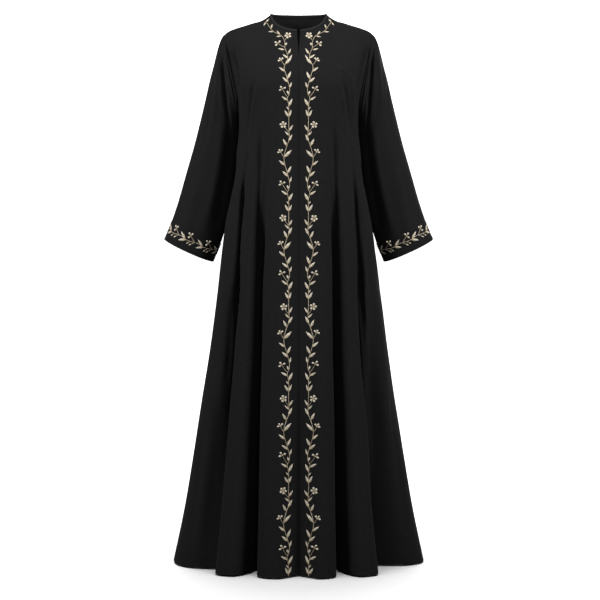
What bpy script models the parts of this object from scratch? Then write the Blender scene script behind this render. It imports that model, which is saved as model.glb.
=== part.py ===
"""An open-front abaya cloak, filled out as it hangs when it is worn.

Six pieces of cloth, each a thin closed wall: two fronts, a back, two set-in sleeves and a neck binding.
Metres. +Z is up, the front faces -Y and +X is the wearer's left. The origin is midway between the two
points where the shoulders meet the neck, which is where the wearer holds the cloak up.
"""

from collections import namedtuple

import bmesh
import bpy
import numpy as np

# ---------------------------------------------------------------- driving dimensions

WALL = 0.0016  # thickness of a cloth wall
SEAM = 0.0003  # gap between two pieces at a seam

HEM_Z = -1.422  # a size 56: 56 inches from the neck point of the shoulder to the hem
HIP_Z = -0.675  # height at which the folds' second positions are given
BUST_Z = -0.200  # the fullest line of the chest; the yoke above it is lofted
UNDERARM_Z = -0.258  # foot of the armhole, top of the side seam

NECK_HALF = 0.076  # half width of the neck hole in the panels
NECK_SIDE = (0.008, 0.0155)  # y and z where the shoulder seam meets the neck hole
NECK_FRONT = (-0.070, -0.044)  # y and z of the neck hole at the centre front
NECK_BACK = (0.062, 0.0200)  # y and z of the neck hole at the centre back

SLIT_HALF = 0.0045  # half the gap between the fronts at the neck
SLIT_FOOT_Z = -0.115  # where the two fronts come together
SLIT_CURVE = 1.3  # exponent of the gap's closing; 1 is straight
FRONT_EDGE = 0.0004  # half the gap between the fronts from there down
EDGE_ROLL = 0.003  # how far the front edges turn in
EDGE_TURN = 0.006  # least width of the turned edge
CENTRE_DIP = 0.036  # how far the front edges hang back at the hem
CENTRE_DIP_WIDTH = 0.055  # distance from the centre over which they come forward again

SLEEVE_ROUNDNESS = 2.2  # exponent of a sleeve section; 2 is an ellipse, more is squarer

NECK_SLOPE_SIDE = np.radians(37)  # how steeply the neck stands at the sides, and at the front and back
NECK_SLOPE_MIDDLE = np.radians(67)
BINDING_WIDTH = 0.006
BINDING_PROUD = 0.0003  # how far the binding stands out from the panels on each side

SMALL_STEP = 0.004  # step down from the bust line that gives the slope there
FAIR_PASSES = 3  # rounds of fairing of the yoke
YOKE_ROWS = 8  # rows of faces from the top edge to the bust line
ARMHOLE_REACH = 4  # exponent; a higher one lets the armhole's curve move fewer of the columns next to it
ARMHOLE_ROWS = 4  # rows from the bust line to the underarm
SKIRT_ROWS = (-0.300, -0.344, -0.400, -0.460, -0.530, -0.600, -0.675, -0.760, -0.860, -0.970,
              -1.080, -1.190, -1.290, -1.365, HEM_Z)

# ---------------------------------------------------------------- tables

# Body sections: half width at the sides, depth in front of and behind the side seams, and roundness, the
# exponent of the outline: 2 is an ellipse, more is squarer.
Section = namedtuple("Section", "z half_width front back roundness")
SECTIONS = (
    Section(-0.200, 0.1710, 0.1310, 0.106, 2.30),
    Section(-0.230, 0.1645, 0.1313, 0.107, 2.30),
    Section(-0.260, 0.1600, 0.1317, 0.107, 2.30),
    Section(-0.300, 0.1590, 0.1322, 0.108, 2.30),
    Section(-0.344, 0.1635, 0.1330, 0.110, 2.30),
    Section(-0.410, 0.1740, 0.1350, 0.114, 2.30),
    Section(-0.476, 0.1870, 0.1385, 0.119, 2.28),
    Section(-0.569, 0.1975, 0.1460, 0.128, 2.25),
    Section(-0.741, 0.2170, 0.1640, 0.146, 2.20),
    Section(-0.868, 0.2340, 0.1800, 0.159, 2.15),
    Section(-1.006, 0.2560, 0.1990, 0.175, 2.15),
    Section(-1.154, 0.2790, 0.2190, 0.192, 2.15),
    Section(-1.281, 0.3000, 0.2410, 0.207, 2.15),
    Section(-1.422, 0.3290, 0.2650, 0.224, 2.15),
)

# Shoulder seam, from the neck hole out to the shoulder point.
Shoulder = namedtuple("Shoulder", "x y z")
SHOULDER = (
    Shoulder(0.0760, 0.0080, 0.0155),
    Shoulder(0.0860, 0.0080, 0.0075),
    Shoulder(0.0985, 0.0080, 0.0000),
    Shoulder(0.1180, 0.0075, -0.0055),
    Shoulder(0.1420, 0.0070, -0.0130),
    Shoulder(0.1690, 0.0060, -0.0215),
    Shoulder(0.1870, 0.0050, -0.0295),
    Shoulder(0.2000, 0.0050, -0.0400),
)

# How the yoke leaves its top edge: its pull outwards, away from the seam and down. The place is a guide's top.
Pull = namedtuple("Pull", "top out away down")
FRONT_PULL = (
    Pull(0.0, 0.000, 0.078, 0.128),
    Pull(0.5, 0.030, 0.078, 0.115),
    Pull(0.8, 0.050, 0.082, 0.088),
    Pull(1.0, 0.048, 0.096, 0.066),
    Pull(1.2, 0.030, 0.120, 0.044),
    Pull(1.5, 0.008, 0.132, 0.034),
    Pull(1.8, -0.015, 0.112, 0.042),
    Pull(2.0, -0.032, 0.085, 0.060),
)
BACK_PULL = (
    Pull(0.0, 0.000, 0.060, 0.130),
    Pull(0.5, 0.026, 0.062, 0.116),
    Pull(0.8, 0.046, 0.068, 0.088),
    Pull(1.0, 0.046, 0.084, 0.066),
    Pull(1.2, 0.028, 0.106, 0.044),
    Pull(1.5, 0.008, 0.118, 0.034),
    Pull(1.8, -0.010, 0.102, 0.042),
    Pull(2.0, -0.026, 0.080, 0.060),
)

# Guide lines run down a panel from its top edge to the hem. The top is 0 to 1 round the neck hole and 1 to 2
# along the shoulder seam. The distances from the centre line are at the bust line, the hip and the hem, and
# columns counts the grid columns since the guide before. The last guide is the armhole and the side seam.
Guide = namedtuple("Guide", "name top bust hip hem columns")
SIDE = 1.0  # a distance past every section, so the guide stays at the side seam
FRONT_RIGHT_GUIDES = (
    Guide("front edge", 0.00, 0.000, 0.000, 0.000, 0),
    Guide("edge turn", 0.12, 0.012, 0.014, 0.014, 1),
    Guide("inner fold edge", 0.62, 0.062, 0.087, 0.101, 3),
    Guide("inner fold floor", 0.80, 0.076, 0.100, 0.117, 2),
    Guide("neck corner", 1.00, 0.090, 0.116, 0.145, 2),
    Guide("inner fold end", 1.12, 0.100, 0.132, 0.174, 1),
    Guide("outer fold edge", 1.52, 0.128, 0.156, 0.210, 3),
    Guide("outer fold floor", 1.62, 0.134, 0.164, 0.226, 2),
    Guide("outer fold end", 1.88, 0.153, 0.196, 0.320, 4),
    Guide("side", 2.00, 0.163, SIDE, SIDE, 1),
)
FRONT_LEFT_GUIDES = (
    Guide("front edge", 0.00, 0.000, 0.000, 0.000, 0),
    Guide("edge turn", 0.12, 0.012, 0.014, 0.014, 1),
    Guide("inner fold edge", 0.60, 0.058, 0.081, 0.091, 3),
    Guide("inner fold floor", 0.80, 0.074, 0.096, 0.108, 2),
    Guide("neck corner", 1.00, 0.090, 0.113, 0.134, 2),
    Guide("inner fold end", 1.12, 0.100, 0.128, 0.160, 1),
    Guide("outer fold edge", 1.54, 0.130, 0.150, 0.204, 3),
    Guide("outer fold floor", 1.64, 0.136, 0.159, 0.222, 2),
    Guide("outer fold end", 1.90, 0.154, 0.200, 0.325, 4),
    Guide("side", 2.00, 0.163, SIDE, SIDE, 1),
)
BACK_RIGHT_GUIDES = (
    Guide("centre back", 0.00, 0.000, 0.000, 0.000, 0),
    Guide("inner fold edge", 0.46, 0.042, 0.062, 0.088, 3),
    Guide("inner fold floor", 0.62, 0.056, 0.074, 0.106, 2),
    Guide("neck corner", 1.00, 0.092, 0.102, 0.150, 3),
    Guide("inner fold end", 1.06, 0.097, 0.110, 0.164, 1),
    Guide("outer fold edge", 1.44, 0.124, 0.136, 0.200, 2),
    Guide("outer fold floor", 1.56, 0.132, 0.146, 0.218, 2),
    Guide("outer fold end", 1.86, 0.154, 0.182, 0.290, 3),
    Guide("side", 2.00, 0.166, SIDE, SIDE, 2),
)
BACK_LEFT_GUIDES = (
    Guide("centre back", 0.00, 0.000, 0.000, 0.000, 0),
    Guide("inner fold edge", 0.38, 0.034, 0.052, 0.068, 3),
    Guide("inner fold floor", 0.56, 0.050, 0.065, 0.086, 2),
    Guide("inner fold end", 0.94, 0.086, 0.096, 0.138, 2),
    Guide("neck corner", 1.00, 0.092, 0.103, 0.148, 1),
    Guide("outer fold edge", 1.42, 0.122, 0.130, 0.186, 3),
    Guide("outer fold floor", 1.54, 0.130, 0.141, 0.205, 2),
    Guide("outer fold end", 1.86, 0.154, 0.180, 0.284, 3),
    Guide("side", 2.00, 0.166, SIDE, SIDE, 2),
)

# Folds: each lies between three guide lines, with a sharp edge, a floor and a gentle rise. It starts at a
# height, and its floor lies this far in from the body section at the hip and at the hem.
Fold = namedtuple("Fold", "name start hip_depth hem_depth")
FRONT_RIGHT_FOLDS = (Fold("inner fold", -0.320, 0.044, 0.105), Fold("outer fold", -0.210, 0.026, 0.062))
FRONT_LEFT_FOLDS = (Fold("inner fold", -0.330, 0.046, 0.108), Fold("outer fold", -0.205, 0.028, 0.118))
BACK_RIGHT_FOLDS = (Fold("inner fold", -0.360, 0.030, 0.084), Fold("outer fold", -0.300, 0.026, 0.082))
BACK_LEFT_FOLDS = (Fold("inner fold", -0.400, 0.026, 0.076), Fold("outer fold", -0.280, 0.030, 0.090))
FOLD_FADE = 0.300  # height over which a fold grows from nothing
FOLD_ROUNDING = 2  # grid columns before a fold's edge over which the cloth turns in to it
FOLD_SIDEWAYS = 0.5  # share of a fold's depth that follows the section's sideways slope

CAP_TOP = (0.009, -0.018)  # how far out and down the sleeve goes in its first row, at the shoulder point
CAP_FOOT = (0.0015, -0.013)  # and at the underarm

# Sleeve sections, shoulder to cuff, for the left sleeve: the outer and inner edges seen from the front, where
# the middle lies front to back, half the depth there, and how much lower the front of the section hangs.
Sleeve = namedtuple("Sleeve", "outer_x outer_z inner_x inner_z mid_y half_depth drop rows")
SLEEVE_SECTIONS = (
    Sleeve(0.2305, -0.142, 0.1602, -0.292, 0.004, 0.060, 0.000, 2),
    Sleeve(0.2505, -0.225, 0.1614, -0.320, 0.010, 0.061, 0.000, 2),
    Sleeve(0.2745, -0.320, 0.1682, -0.372, 0.017, 0.061, 0.001, 2),
    Sleeve(0.2985, -0.403, 0.1800, -0.440, 0.021, 0.060, 0.002, 2),
    Sleeve(0.3210, -0.482, 0.1922, -0.516, 0.020, 0.057, 0.004, 2),
    Sleeve(0.3408, -0.541, 0.2045, -0.583, 0.015, 0.053, 0.006, 2),
    Sleeve(0.3566, -0.578, 0.2250, -0.638, 0.010, 0.048, 0.009, 2),
)

LEAST_LIKENESS = 0.3  # keeps the inside of a wall near its outside where a fold is very sharp
SHARP = np.radians(50)  # edges that turn more than this are drawn sharp
CREPE = ((0.0125, 0.0125, 0.0135), 0.82)  # colour and roughness
BINDING = ((0.022, 0.022, 0.023), 0.70)


# ---------------------------------------------------------------- curves


def smooth(x, xs, ys):
    """A cubic through the points (xs, ys), xs rising, whose slope at each is that of its two neighbours."""
    xs, ys = np.asarray(xs, float), np.asarray(ys, float)
    slopes = np.gradient(ys, xs, axis=0)
    x = np.clip(x, xs[0], xs[-1])
    i = np.clip(np.searchsorted(xs, x, side="right") - 1, 0, len(xs) - 2)
    spare = (1,) * (ys.ndim - 1)
    width = (xs[i + 1] - xs[i]).reshape(np.shape(x) + spare)
    t = (x - xs[i]).reshape(np.shape(x) + spare) / width
    return hermite(t, ys[i], ys[i + 1], slopes[i] * width, slopes[i + 1] * width)


def hermite(t, start, end, start_slope, end_slope):
    """The cubic from start to end, leaving and arriving with the given slopes, at t from 0 to 1."""
    return (
        (2 * t**3 - 3 * t**2 + 1) * start
        + (t**3 - 2 * t**2 + t) * start_slope
        + (3 * t**2 - 2 * t**3) * end
        + (t**3 - t**2) * end_slope
    )


def ease(t):
    """0 to 1 with level ends."""
    t = np.clip(t, 0.0, 1.0)
    return t * t * (3 - 2 * t)


def by_height(z, name):
    """A column of the section table, at the heights z."""
    rising = SECTIONS[::-1]
    return smooth(z, [s.z for s in rising], [getattr(s, name) for s in rising])


def guide_values(guides, name):
    """One column of a guide table."""
    return np.array([getattr(guide, name) for guide in guides])


def guide_places(guides):
    """The grid column at which each guide lies."""
    return np.cumsum(guide_values(guides, "columns"))


def column_places(guides):
    """The numbers of all the grid columns."""
    return np.arange(guide_places(guides)[-1] + 1)


# ---------------------------------------------------------------- body panels


def turn_at(z, x):
    """The angle round the body section at height z, 0 at the centre and a quarter turn at the side, at x."""
    share = np.clip(x / by_height(z, "half_width"), 0.0, 1.0)
    return np.arcsin(share ** (by_height(z, "roundness") / 2))


def half_section(z, turn, facing):
    """Points of the body section at height z: a superellipse of its half width and its depth on one face."""
    power = 2 / by_height(z, "roundness")
    x = by_height(z, "half_width") * np.sin(turn) ** power
    y = facing * by_height(z, "front" if facing < 0 else "back") * np.cos(turn).clip(0) ** power
    return x, y


def panel_turns(z, guides):
    """The angle of every grid column at the heights z, which run down the first axis.

    The columns keep to their guides at the bust line, the hip and the hem. Down the armhole the last column
    turns from the armhole's width at the bust line to the side seam, along a quarter of an ellipse, and takes
    the columns next to it along.
    """
    bust, hip, hem = (
        np.interp(column_places(guides), guide_places(guides), turn_at(height, guide_values(guides, name)))
        for height, name in ((BUST_Z, "bust"), (HIP_Z, "hip"), (HEM_Z, "hem"))
    )
    share = smooth(-z[:, 0], [-BUST_Z, -HIP_Z, -HEM_Z], np.stack([bust / bust[-1], hip / hip[-1], hem / hem[-1]]))
    fall = np.clip((BUST_Z - z) / (BUST_Z - UNDERARM_Z), 0.0, 1.0)
    power = 2 / by_height(BUST_Z, "roundness")
    last = np.arccos((np.cos(bust[-1]) ** power * np.sqrt(1 - fall**2)) ** (1 / power))
    near = ease((z - HIP_Z) / (BUST_Z - HIP_Z))
    return share * (bust[-1] + (last - bust[-1]) * (1 - near * (1 - share**ARMHOLE_REACH)))


def fold_depth(z, guides, folds):
    """How far in each grid column lies at the heights z, from all the folds of the panel."""
    at = dict(zip(guide_values(guides, "name"), guide_places(guides)))
    column = column_places(guides)
    depth = np.zeros((len(z), len(column)))
    for fold in folds:
        edge, floor, end = (at[f"{fold.name} {part}"] for part in ("edge", "floor", "end"))
        start = edge - FOLD_ROUNDING
        across = np.clip((column - start) / (floor - start), 0, 1) ** 3 * ease((end - column) / (end - floor))
        down = smooth(-z, [-fold.start, -HIP_Z, -HEM_Z], [0.0, fold.hip_depth, fold.hem_depth])
        depth += down * ease((fold.start - z) / FOLD_FADE) * across
    return depth


def lower_panel(z, guides, folds, facing):
    """The panel below the bust line: sections pushed in by the folds, at the heights z."""
    z = np.asarray(z, float)[:, None]
    turn = panel_turns(z, guides)
    x, y = half_section(z, turn, facing)
    depth = fold_depth(z, guides, folds)
    slope = FOLD_SIDEWAYS * np.sin(turn)
    level = np.hypot(slope, np.cos(turn))
    x = x - depth * slope / level
    y = y - facing * depth * np.cos(turn) / level
    return np.stack([x, y, z + np.zeros_like(x)], axis=-1)


def top_edge(top, facing):
    """Points of the neck hole, for tops up to 1, and of the shoulder seam beyond it."""
    centre_y, centre_z = NECK_FRONT if facing < 0 else NECK_BACK
    side_y, side_z = NECK_SIDE
    turn = np.clip(top, 0.0, 1.0) * np.pi / 2
    seam_x = NECK_HALF + (SHOULDER[-1].x - NECK_HALF) * (top - 1)
    seam_y, seam_z = (smooth(seam_x, [s.x for s in SHOULDER], [getattr(s, n) for s in SHOULDER]) for n in "yz")
    neck = top <= 1
    x = np.where(neck, NECK_HALF * np.sin(turn), seam_x)
    y = np.where(neck, side_y + (centre_y - side_y) * np.cos(turn), seam_y)
    z = np.where(neck, side_z + (centre_z - side_z) * np.cos(turn), seam_z)
    return np.stack([x, y, z], axis=-1)


def yoke(guides, folds, facing):
    """The panel above the bust line: each column is a cubic from the top edge to the bust line."""
    top = np.interp(column_places(guides), guide_places(guides), guide_values(guides, "top"))
    start = top_edge(top, facing)
    bust, below = lower_panel([BUST_Z, BUST_Z - SMALL_STEP], guides, folds, facing)
    table = FRONT_PULL if facing < 0 else BACK_PULL
    leave = smooth(top, [p.top for p in table], [(p.out, p.away * facing, -p.down) for p in table])
    arrive = (below - bust) / SMALL_STEP * (start[:, 2:] - BUST_Z)
    t = np.linspace(0, 1, YOKE_ROWS + 1)[:, None, None]
    return fair(hermite(t, start, bust, leave, arrive))


def fair(grid):
    """The grid with its inner points moved towards the middle of their two neighbours on each row."""
    for _ in range(FAIR_PASSES):
        grid[1:-1, 1:-1] += (grid[1:-1, :-2] + grid[1:-1, 2:] - 2 * grid[1:-1, 1:-1]) / 4
    return grid


def body_panel(guides, folds, facing):
    """One half of the front or back as a grid of points, rows from the top edge down to the hem."""
    turns = np.linspace(0, np.pi / 2, ARMHOLE_ROWS + 1)[1:]
    armhole = BUST_Z + (UNDERARM_Z - BUST_Z) * np.sin(turns)
    rows = np.concatenate([armhole, SKIRT_ROWS])
    grid = np.concatenate([yoke(guides, folds, facing), lower_panel(rows, guides, folds, facing)])
    grid[..., 1] += facing * SEAM / 2
    return grid


def front(guides, folds):
    """A front for the wearer's left side: the panel, opened at the slit, with its edge turned in."""
    grid = body_panel(guides, folds, -1)
    at = guides[1].columns
    dip = CENTRE_DIP * ease((BUST_Z - grid[..., 2]) / (BUST_Z - HEM_Z))
    grid[..., 1] += dip * (1 - ease(grid[..., 0] / CENTRE_DIP_WIDTH))
    z = grid[:, 0, 2]
    open_share = np.clip((z - SLIT_FOOT_Z) / (NECK_FRONT[1] - SLIT_FOOT_Z), 0.0, 1.0)
    gap = FRONT_EDGE + (SLIT_HALF - FRONT_EDGE) * open_share**SLIT_CURVE
    grid[:, 0, 0] = gap
    grid[:, 0, 1] += EDGE_ROLL * (1 - open_share)
    grid[:, at, 0] = np.maximum(grid[:, at, 0], gap + EDGE_TURN)
    return grid


def mirrored(grid):
    """The same points on the wearer's right side."""
    return grid * np.array([-1.0, 1.0, 1.0])


# ---------------------------------------------------------------- sleeves


def arc_shares(points):
    """Each point's share of the length along a line of points."""
    steps = np.linalg.norm(np.diff(points, axis=0), axis=1)
    return np.concatenate([[0.0], np.cumsum(steps)]) / steps.sum()


def sleeve(front_edge, back_edge):
    """The left sleeve: rings from the armhole through the sleeve sections to the cuff.

    The first ring is the armhole's own points, moved out by the seam gap. It starts at the shoulder point and
    goes down the front edge and up the back edge. The second is the same ring, moved out over the cap.
    """
    top = (front_edge[0] + back_edge[0]) / 2
    foot = (front_edge[-1] + back_edge[-1]) / 2
    ring = np.concatenate([[top], front_edge[1:-1], [foot], back_edge[-2:0:-1]])
    ring = ring + np.array([SEAM, 0.0, 0.0])
    half = len(front_edge)
    down = arc_shares(ring[:half]) * np.pi
    up = np.pi + arc_shares(np.concatenate([ring[half - 1 :], ring[:1]])) * np.pi
    turn = np.concatenate([down, up[1:-1]])
    high = (1 + np.cos(turn)) / 2
    cap = ring + np.stack([CAP_FOOT[0] + (CAP_TOP[0] - CAP_FOOT[0]) * high, 0 * high,
                           CAP_FOOT[1] + (CAP_TOP[1] - CAP_FOOT[1]) * high], axis=-1)
    rings, rows = [ring, cap], [0, 1]
    for s in SLEEVE_SECTIONS:
        across = np.sign(np.cos(turn)) * np.abs(np.cos(turn)) ** (2 / SLEEVE_ROUNDNESS)
        deep = np.sign(np.sin(turn)) * np.abs(np.sin(turn)) ** (2 / SLEEVE_ROUNDNESS)
        x = (s.outer_x + s.inner_x) / 2 + (s.outer_x - s.inner_x) / 2 * across
        z = (s.outer_z + s.inner_z) / 2 + (s.outer_z - s.inner_z) / 2 * across - s.drop * deep
        y = s.mid_y - s.half_depth * deep
        rings.append(np.stack([x, y, z], axis=-1))
        rows.append(rows[-1] + s.rows)
    return smooth_rings(rings, rows)


def smooth_rings(rings, rows):
    """Every row of a tube, from the rings given at some of its rows."""
    rings = np.stack(rings)
    flat = rings.reshape(len(rings), -1)
    wanted = np.arange(rows[-1] + 1)
    made = np.stack([smooth(float(r), rows, flat) for r in wanted])
    return made.reshape(len(wanted), *rings.shape[1:])


# ---------------------------------------------------------------- neck binding


def neck_directions(points):
    """For points on the neck hole: up along the neck, leaning in to it, and square out from it.

    The neck leans in most at the sides and stands up at the centre front and back.
    """
    inward = np.array([0.0, NECK_SIDE[0]]) - points[:, :2]
    inward /= np.linalg.norm(inward, axis=1, keepdims=True)
    middle = 1 - np.abs(points[:, :1]) / NECK_HALF
    slope = NECK_SLOPE_SIDE + (NECK_SLOPE_MIDDLE - NECK_SLOPE_SIDE) * ease(1.5 * middle)
    up = np.concatenate([inward * np.cos(slope), np.sin(slope)], axis=1)
    out = np.concatenate([-inward * np.sin(slope), np.cos(slope)], axis=1)
    return up, out


def binding(points):
    """Outer and inner rows of the strip that stands on the neck hole's points, foot first."""
    up, out = neck_directions(points)
    foot = points + up * SEAM + out * BINDING_PROUD
    outer = np.stack([foot, foot + up * BINDING_WIDTH])
    return outer, outer - out * (WALL + 2 * BINDING_PROUD)


# ---------------------------------------------------------------- walls


def unit(vectors):
    """The same directions, each of length one."""
    return vectors / np.linalg.norm(vectors, axis=-1, keepdims=True)


def outward(grid, wrap=False):
    """For every point of a grid, the outward step that keeps both strips beside it one unit of wall thick."""
    if wrap:
        grid = np.concatenate([grid[:, -1:], grid, grid[:, :1]], axis=1)
    down = np.gradient(grid, axis=0)
    normal = unit(np.cross(down[:, :-1] + down[:, 1:], np.diff(grid, axis=1)))
    middle = grid.mean(axis=1, keepdims=True) if wrap else np.array([0.0, 0.0, 0.0])
    away = (grid[:, :-1] - middle) * np.array([1.0, 1.0, 0.0])
    normal *= np.sign((normal * away).sum())
    if not wrap:
        normal = np.concatenate([normal[:, :1], normal, normal[:, -1:]], axis=1)
    one, other = normal[:, :-1], normal[:, 1:]
    likeness = (one * other).sum(axis=-1, keepdims=True)
    return (one + other) / (1 + likeness).clip(LEAST_LIKENESS)


def panel_inner(grid, neck_columns):
    """The inside of a half panel's wall, which ends square to the binding and to the seams."""
    step = outward(grid)
    step[0, :neck_columns] = neck_directions(grid[0, :neck_columns])[1]
    step[0, neck_columns:] = unit(step[0, neck_columns:] * np.array([1.0, 0.0, 1.0]))
    side = slice(YOKE_ROWS + ARMHOLE_ROWS, None)
    step[side, -1] = unit(step[side, -1] * np.array([1.0, 0.0, 1.0]))
    return grid - WALL * step


def sleeve_inner(grid):
    """The inside of a sleeve's wall, which stays clear of the armhole at its first ring."""
    step = outward(grid, wrap=True)
    step[0, :, 0] = np.minimum(step[0, :, 0], 0.0)
    step[0] = unit(step[0])
    return grid - WALL * step


def wall(name, outer, inner, finish, wrap=False):
    """A closed wall between two grids of points, as a mesh object with its own material."""
    rows, columns = outer.shape[:2]
    number = np.arange(rows * columns).reshape(rows, columns)
    if wrap:
        number = np.concatenate([number, number[:, :1]], axis=1)
    under = number + rows * columns
    faces = [strip(number[:-1], number[1:]), strip(under[:-1], under[1:])]
    faces += [strip(under[:1], number[:1]), strip(number[-1:], under[-1:])]
    if not wrap:
        faces += [strip(number[:, :1].T, under[:, :1].T), strip(under[:, -1:].T, number[:, -1:].T)]
    points = np.concatenate([outer.reshape(-1, 3), inner.reshape(-1, 3)])
    mesh = bpy.data.meshes.new(name)
    mesh.from_pydata(points.tolist(), [], np.concatenate(faces).tolist())
    shape = bmesh.new()
    shape.from_mesh(mesh)
    bmesh.ops.recalc_face_normals(shape, faces=shape.faces)
    shape.to_mesh(mesh)
    shape.free()
    mesh.shade_smooth()
    mesh.set_sharp_from_angle(angle=SHARP)
    mesh.materials.append(cloth(f"{name} cloth", *finish))
    bpy.context.scene.collection.objects.link(bpy.data.objects.new(name, mesh))


def strip(above, below):
    """Triangles between rows of point numbers and the rows that follow them, all cut along the same diagonal."""
    corners = above[:, :-1], below[:, :-1], below[:, 1:], above[:, 1:]
    return np.concatenate([np.stack([corners[i] for i in half], axis=-1).reshape(-1, 3) for half in HALVES])


HALVES = ((0, 1, 2), (0, 2, 3))  # the corners of a quad's two triangles


def cloth(name, colour, roughness):
    """A woven cloth in one colour."""
    material = bpy.data.materials.new(name)
    material.use_nodes = True
    shader = material.node_tree.nodes["Principled BSDF"]
    shader.inputs["Base Color"].default_value = (*colour, 1.0)
    shader.inputs["Roughness"].default_value = roughness
    shader.inputs["Metallic"].default_value = 0.0
    return material


# ---------------------------------------------------------------- the cloak


def build():
    """Builds the six pieces: each side is worked out as the left one, and the right one is mirrored."""
    for old in list(bpy.data.objects):
        bpy.data.objects.remove(old)
    fronts = [front(FRONT_LEFT_GUIDES, FRONT_LEFT_FOLDS), front(FRONT_RIGHT_GUIDES, FRONT_RIGHT_FOLDS)]
    backs = [body_panel(BACK_LEFT_GUIDES, BACK_LEFT_FOLDS, 1), body_panel(BACK_RIGHT_GUIDES, BACK_RIGHT_FOLDS, 1)]
    front_neck = [neck_columns(g) for g in (FRONT_LEFT_GUIDES, FRONT_RIGHT_GUIDES)]
    back_neck = [neck_columns(g) for g in (BACK_LEFT_GUIDES, BACK_RIGHT_GUIDES)]
    front_insides = [panel_inner(grid, neck) for grid, neck in zip(fronts, front_neck)]
    back_insides = [panel_inner(grid, neck) for grid, neck in zip(backs, back_neck)]
    armhole = slice(0, YOKE_ROWS + ARMHOLE_ROWS + 1)
    sleeves = [sleeve(f[armhole, -1], b[armhole, -1]) for f, b in zip(fronts, backs)]

    wall("front_left", fronts[0], front_insides[0], CREPE)
    wall("front_right", mirrored(fronts[1]), mirrored(front_insides[1]), CREPE)
    wall("back", join_halves(*backs), join_halves(*back_insides), CREPE)
    wall("sleeve_left", sleeves[0], sleeve_inner(sleeves[0]), CREPE, wrap=True)
    wall("sleeve_right", mirrored(sleeves[1]), mirrored(sleeve_inner(sleeves[1])), CREPE, wrap=True)

    left = np.concatenate([backs[0][0, : back_neck[0]], fronts[0][0, front_neck[0] - 2 :: -1]])
    right = np.concatenate([backs[1][0, 1 : back_neck[1]], fronts[1][0, front_neck[1] - 2 :: -1]])
    neck = np.concatenate([mirrored(right[::-1]), left])
    wall("neck_binding", *binding(neck), BINDING)


def neck_columns(guides):
    """How many grid columns of a panel start on the neck hole."""
    return sum(guide.columns for guide in guides if guide.top <= 1) + 1


def join_halves(left, right):
    """One grid from the right side across the centre line to the left side."""
    return np.concatenate([mirrored(right)[:, :0:-1], left], axis=1)


build()
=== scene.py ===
"""The looks of an open-front abaya cloak: black crepe, gold vines worked on its edges, and a plain studio.

Metres. +Z is up, the front faces -Y and +X is the wearer's left. The origin is midway between the two points
where the shoulders meet the neck. Each piece of cloth is a thin shell on the form of its solid: the same
tables and formulas on a finer grid, with creases laid on it.
"""

from collections import namedtuple

import bpy
import bmesh
import numpy as np
from bpy.props import FloatProperty, FloatVectorProperty, PointerProperty
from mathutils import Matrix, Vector


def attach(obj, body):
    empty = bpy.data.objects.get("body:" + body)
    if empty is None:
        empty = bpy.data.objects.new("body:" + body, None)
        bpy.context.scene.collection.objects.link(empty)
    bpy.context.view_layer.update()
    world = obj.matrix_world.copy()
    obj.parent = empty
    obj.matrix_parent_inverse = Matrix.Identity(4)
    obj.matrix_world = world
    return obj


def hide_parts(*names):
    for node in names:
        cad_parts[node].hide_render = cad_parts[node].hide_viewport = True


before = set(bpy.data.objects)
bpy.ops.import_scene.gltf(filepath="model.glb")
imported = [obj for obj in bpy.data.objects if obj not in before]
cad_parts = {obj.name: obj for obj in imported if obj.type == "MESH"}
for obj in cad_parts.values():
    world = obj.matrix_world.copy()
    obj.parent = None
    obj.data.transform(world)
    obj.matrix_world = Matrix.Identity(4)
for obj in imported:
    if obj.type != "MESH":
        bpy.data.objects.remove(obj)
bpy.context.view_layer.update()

bl_info = {
    "name": "Abaya Cloak",
    "version": (1, 0, 0),
    "blender": (4, 5, 0),
    "location": "3D View > Sidebar > Abaya",
    "description": "An open-front crepe abaya with vines embroidered down its front and round its cuffs",
    "category": "Add Mesh",
}

# ---------------------------------------------------------------- sizes of the cloak

HEM_Z = -1.422  # a size 56: 56 inches from the neck point of the shoulder to the hem
HIP_Z = -0.675  # height at which the folds' second positions are given
BUST_Z = -0.200  # the fullest line of the chest; the yoke above it is lofted
UNDERARM_Z = -0.258  # foot of the armhole, top of the side seam

NECK_HALF = 0.076  # half width of the neck hole
NECK_SIDE = (0.008, 0.0155)  # y and z where the shoulder seam meets the neck hole
NECK_FRONT = (-0.070, -0.044)  # y and z of the neck hole at the centre front
NECK_BACK = (0.062, 0.0200)  # y and z of the neck hole at the centre back
NECK_SLOPE_SIDE = np.radians(37)  # how steeply the neck stands at the sides, and at the front and back
NECK_SLOPE_MIDDLE = np.radians(67)
NECK_TURN = 1.5  # how soon it comes upright on the way in: at 1 only in the middle, at 2 halfway there

SLIT_HALF = 0.0045  # half the gap between the fronts at the neck
SLIT_FOOT_Z = -0.115  # where the two fronts come together
SLIT_CURVE = 1.3  # exponent of the gap's closing; 1 is straight
FRONT_EDGE = 0.0001  # half the gap between the fronts from there down
EDGE_ROLL = 0.003  # how far the front edges turn in
EDGE_TURN = 0.006  # least width of the turned edge
UNDERLAP = (-0.008, 0.002)  # how far the left front runs on behind the right one, across and back
UNDERLAP_FADE = 0.080  # height below the slit over which it grows
CENTRE_DIP = 0.036  # how far the front edges hang back at the hem
CENTRE_DIP_WIDTH = 0.055  # distance from the centre over which they come forward again

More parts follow.
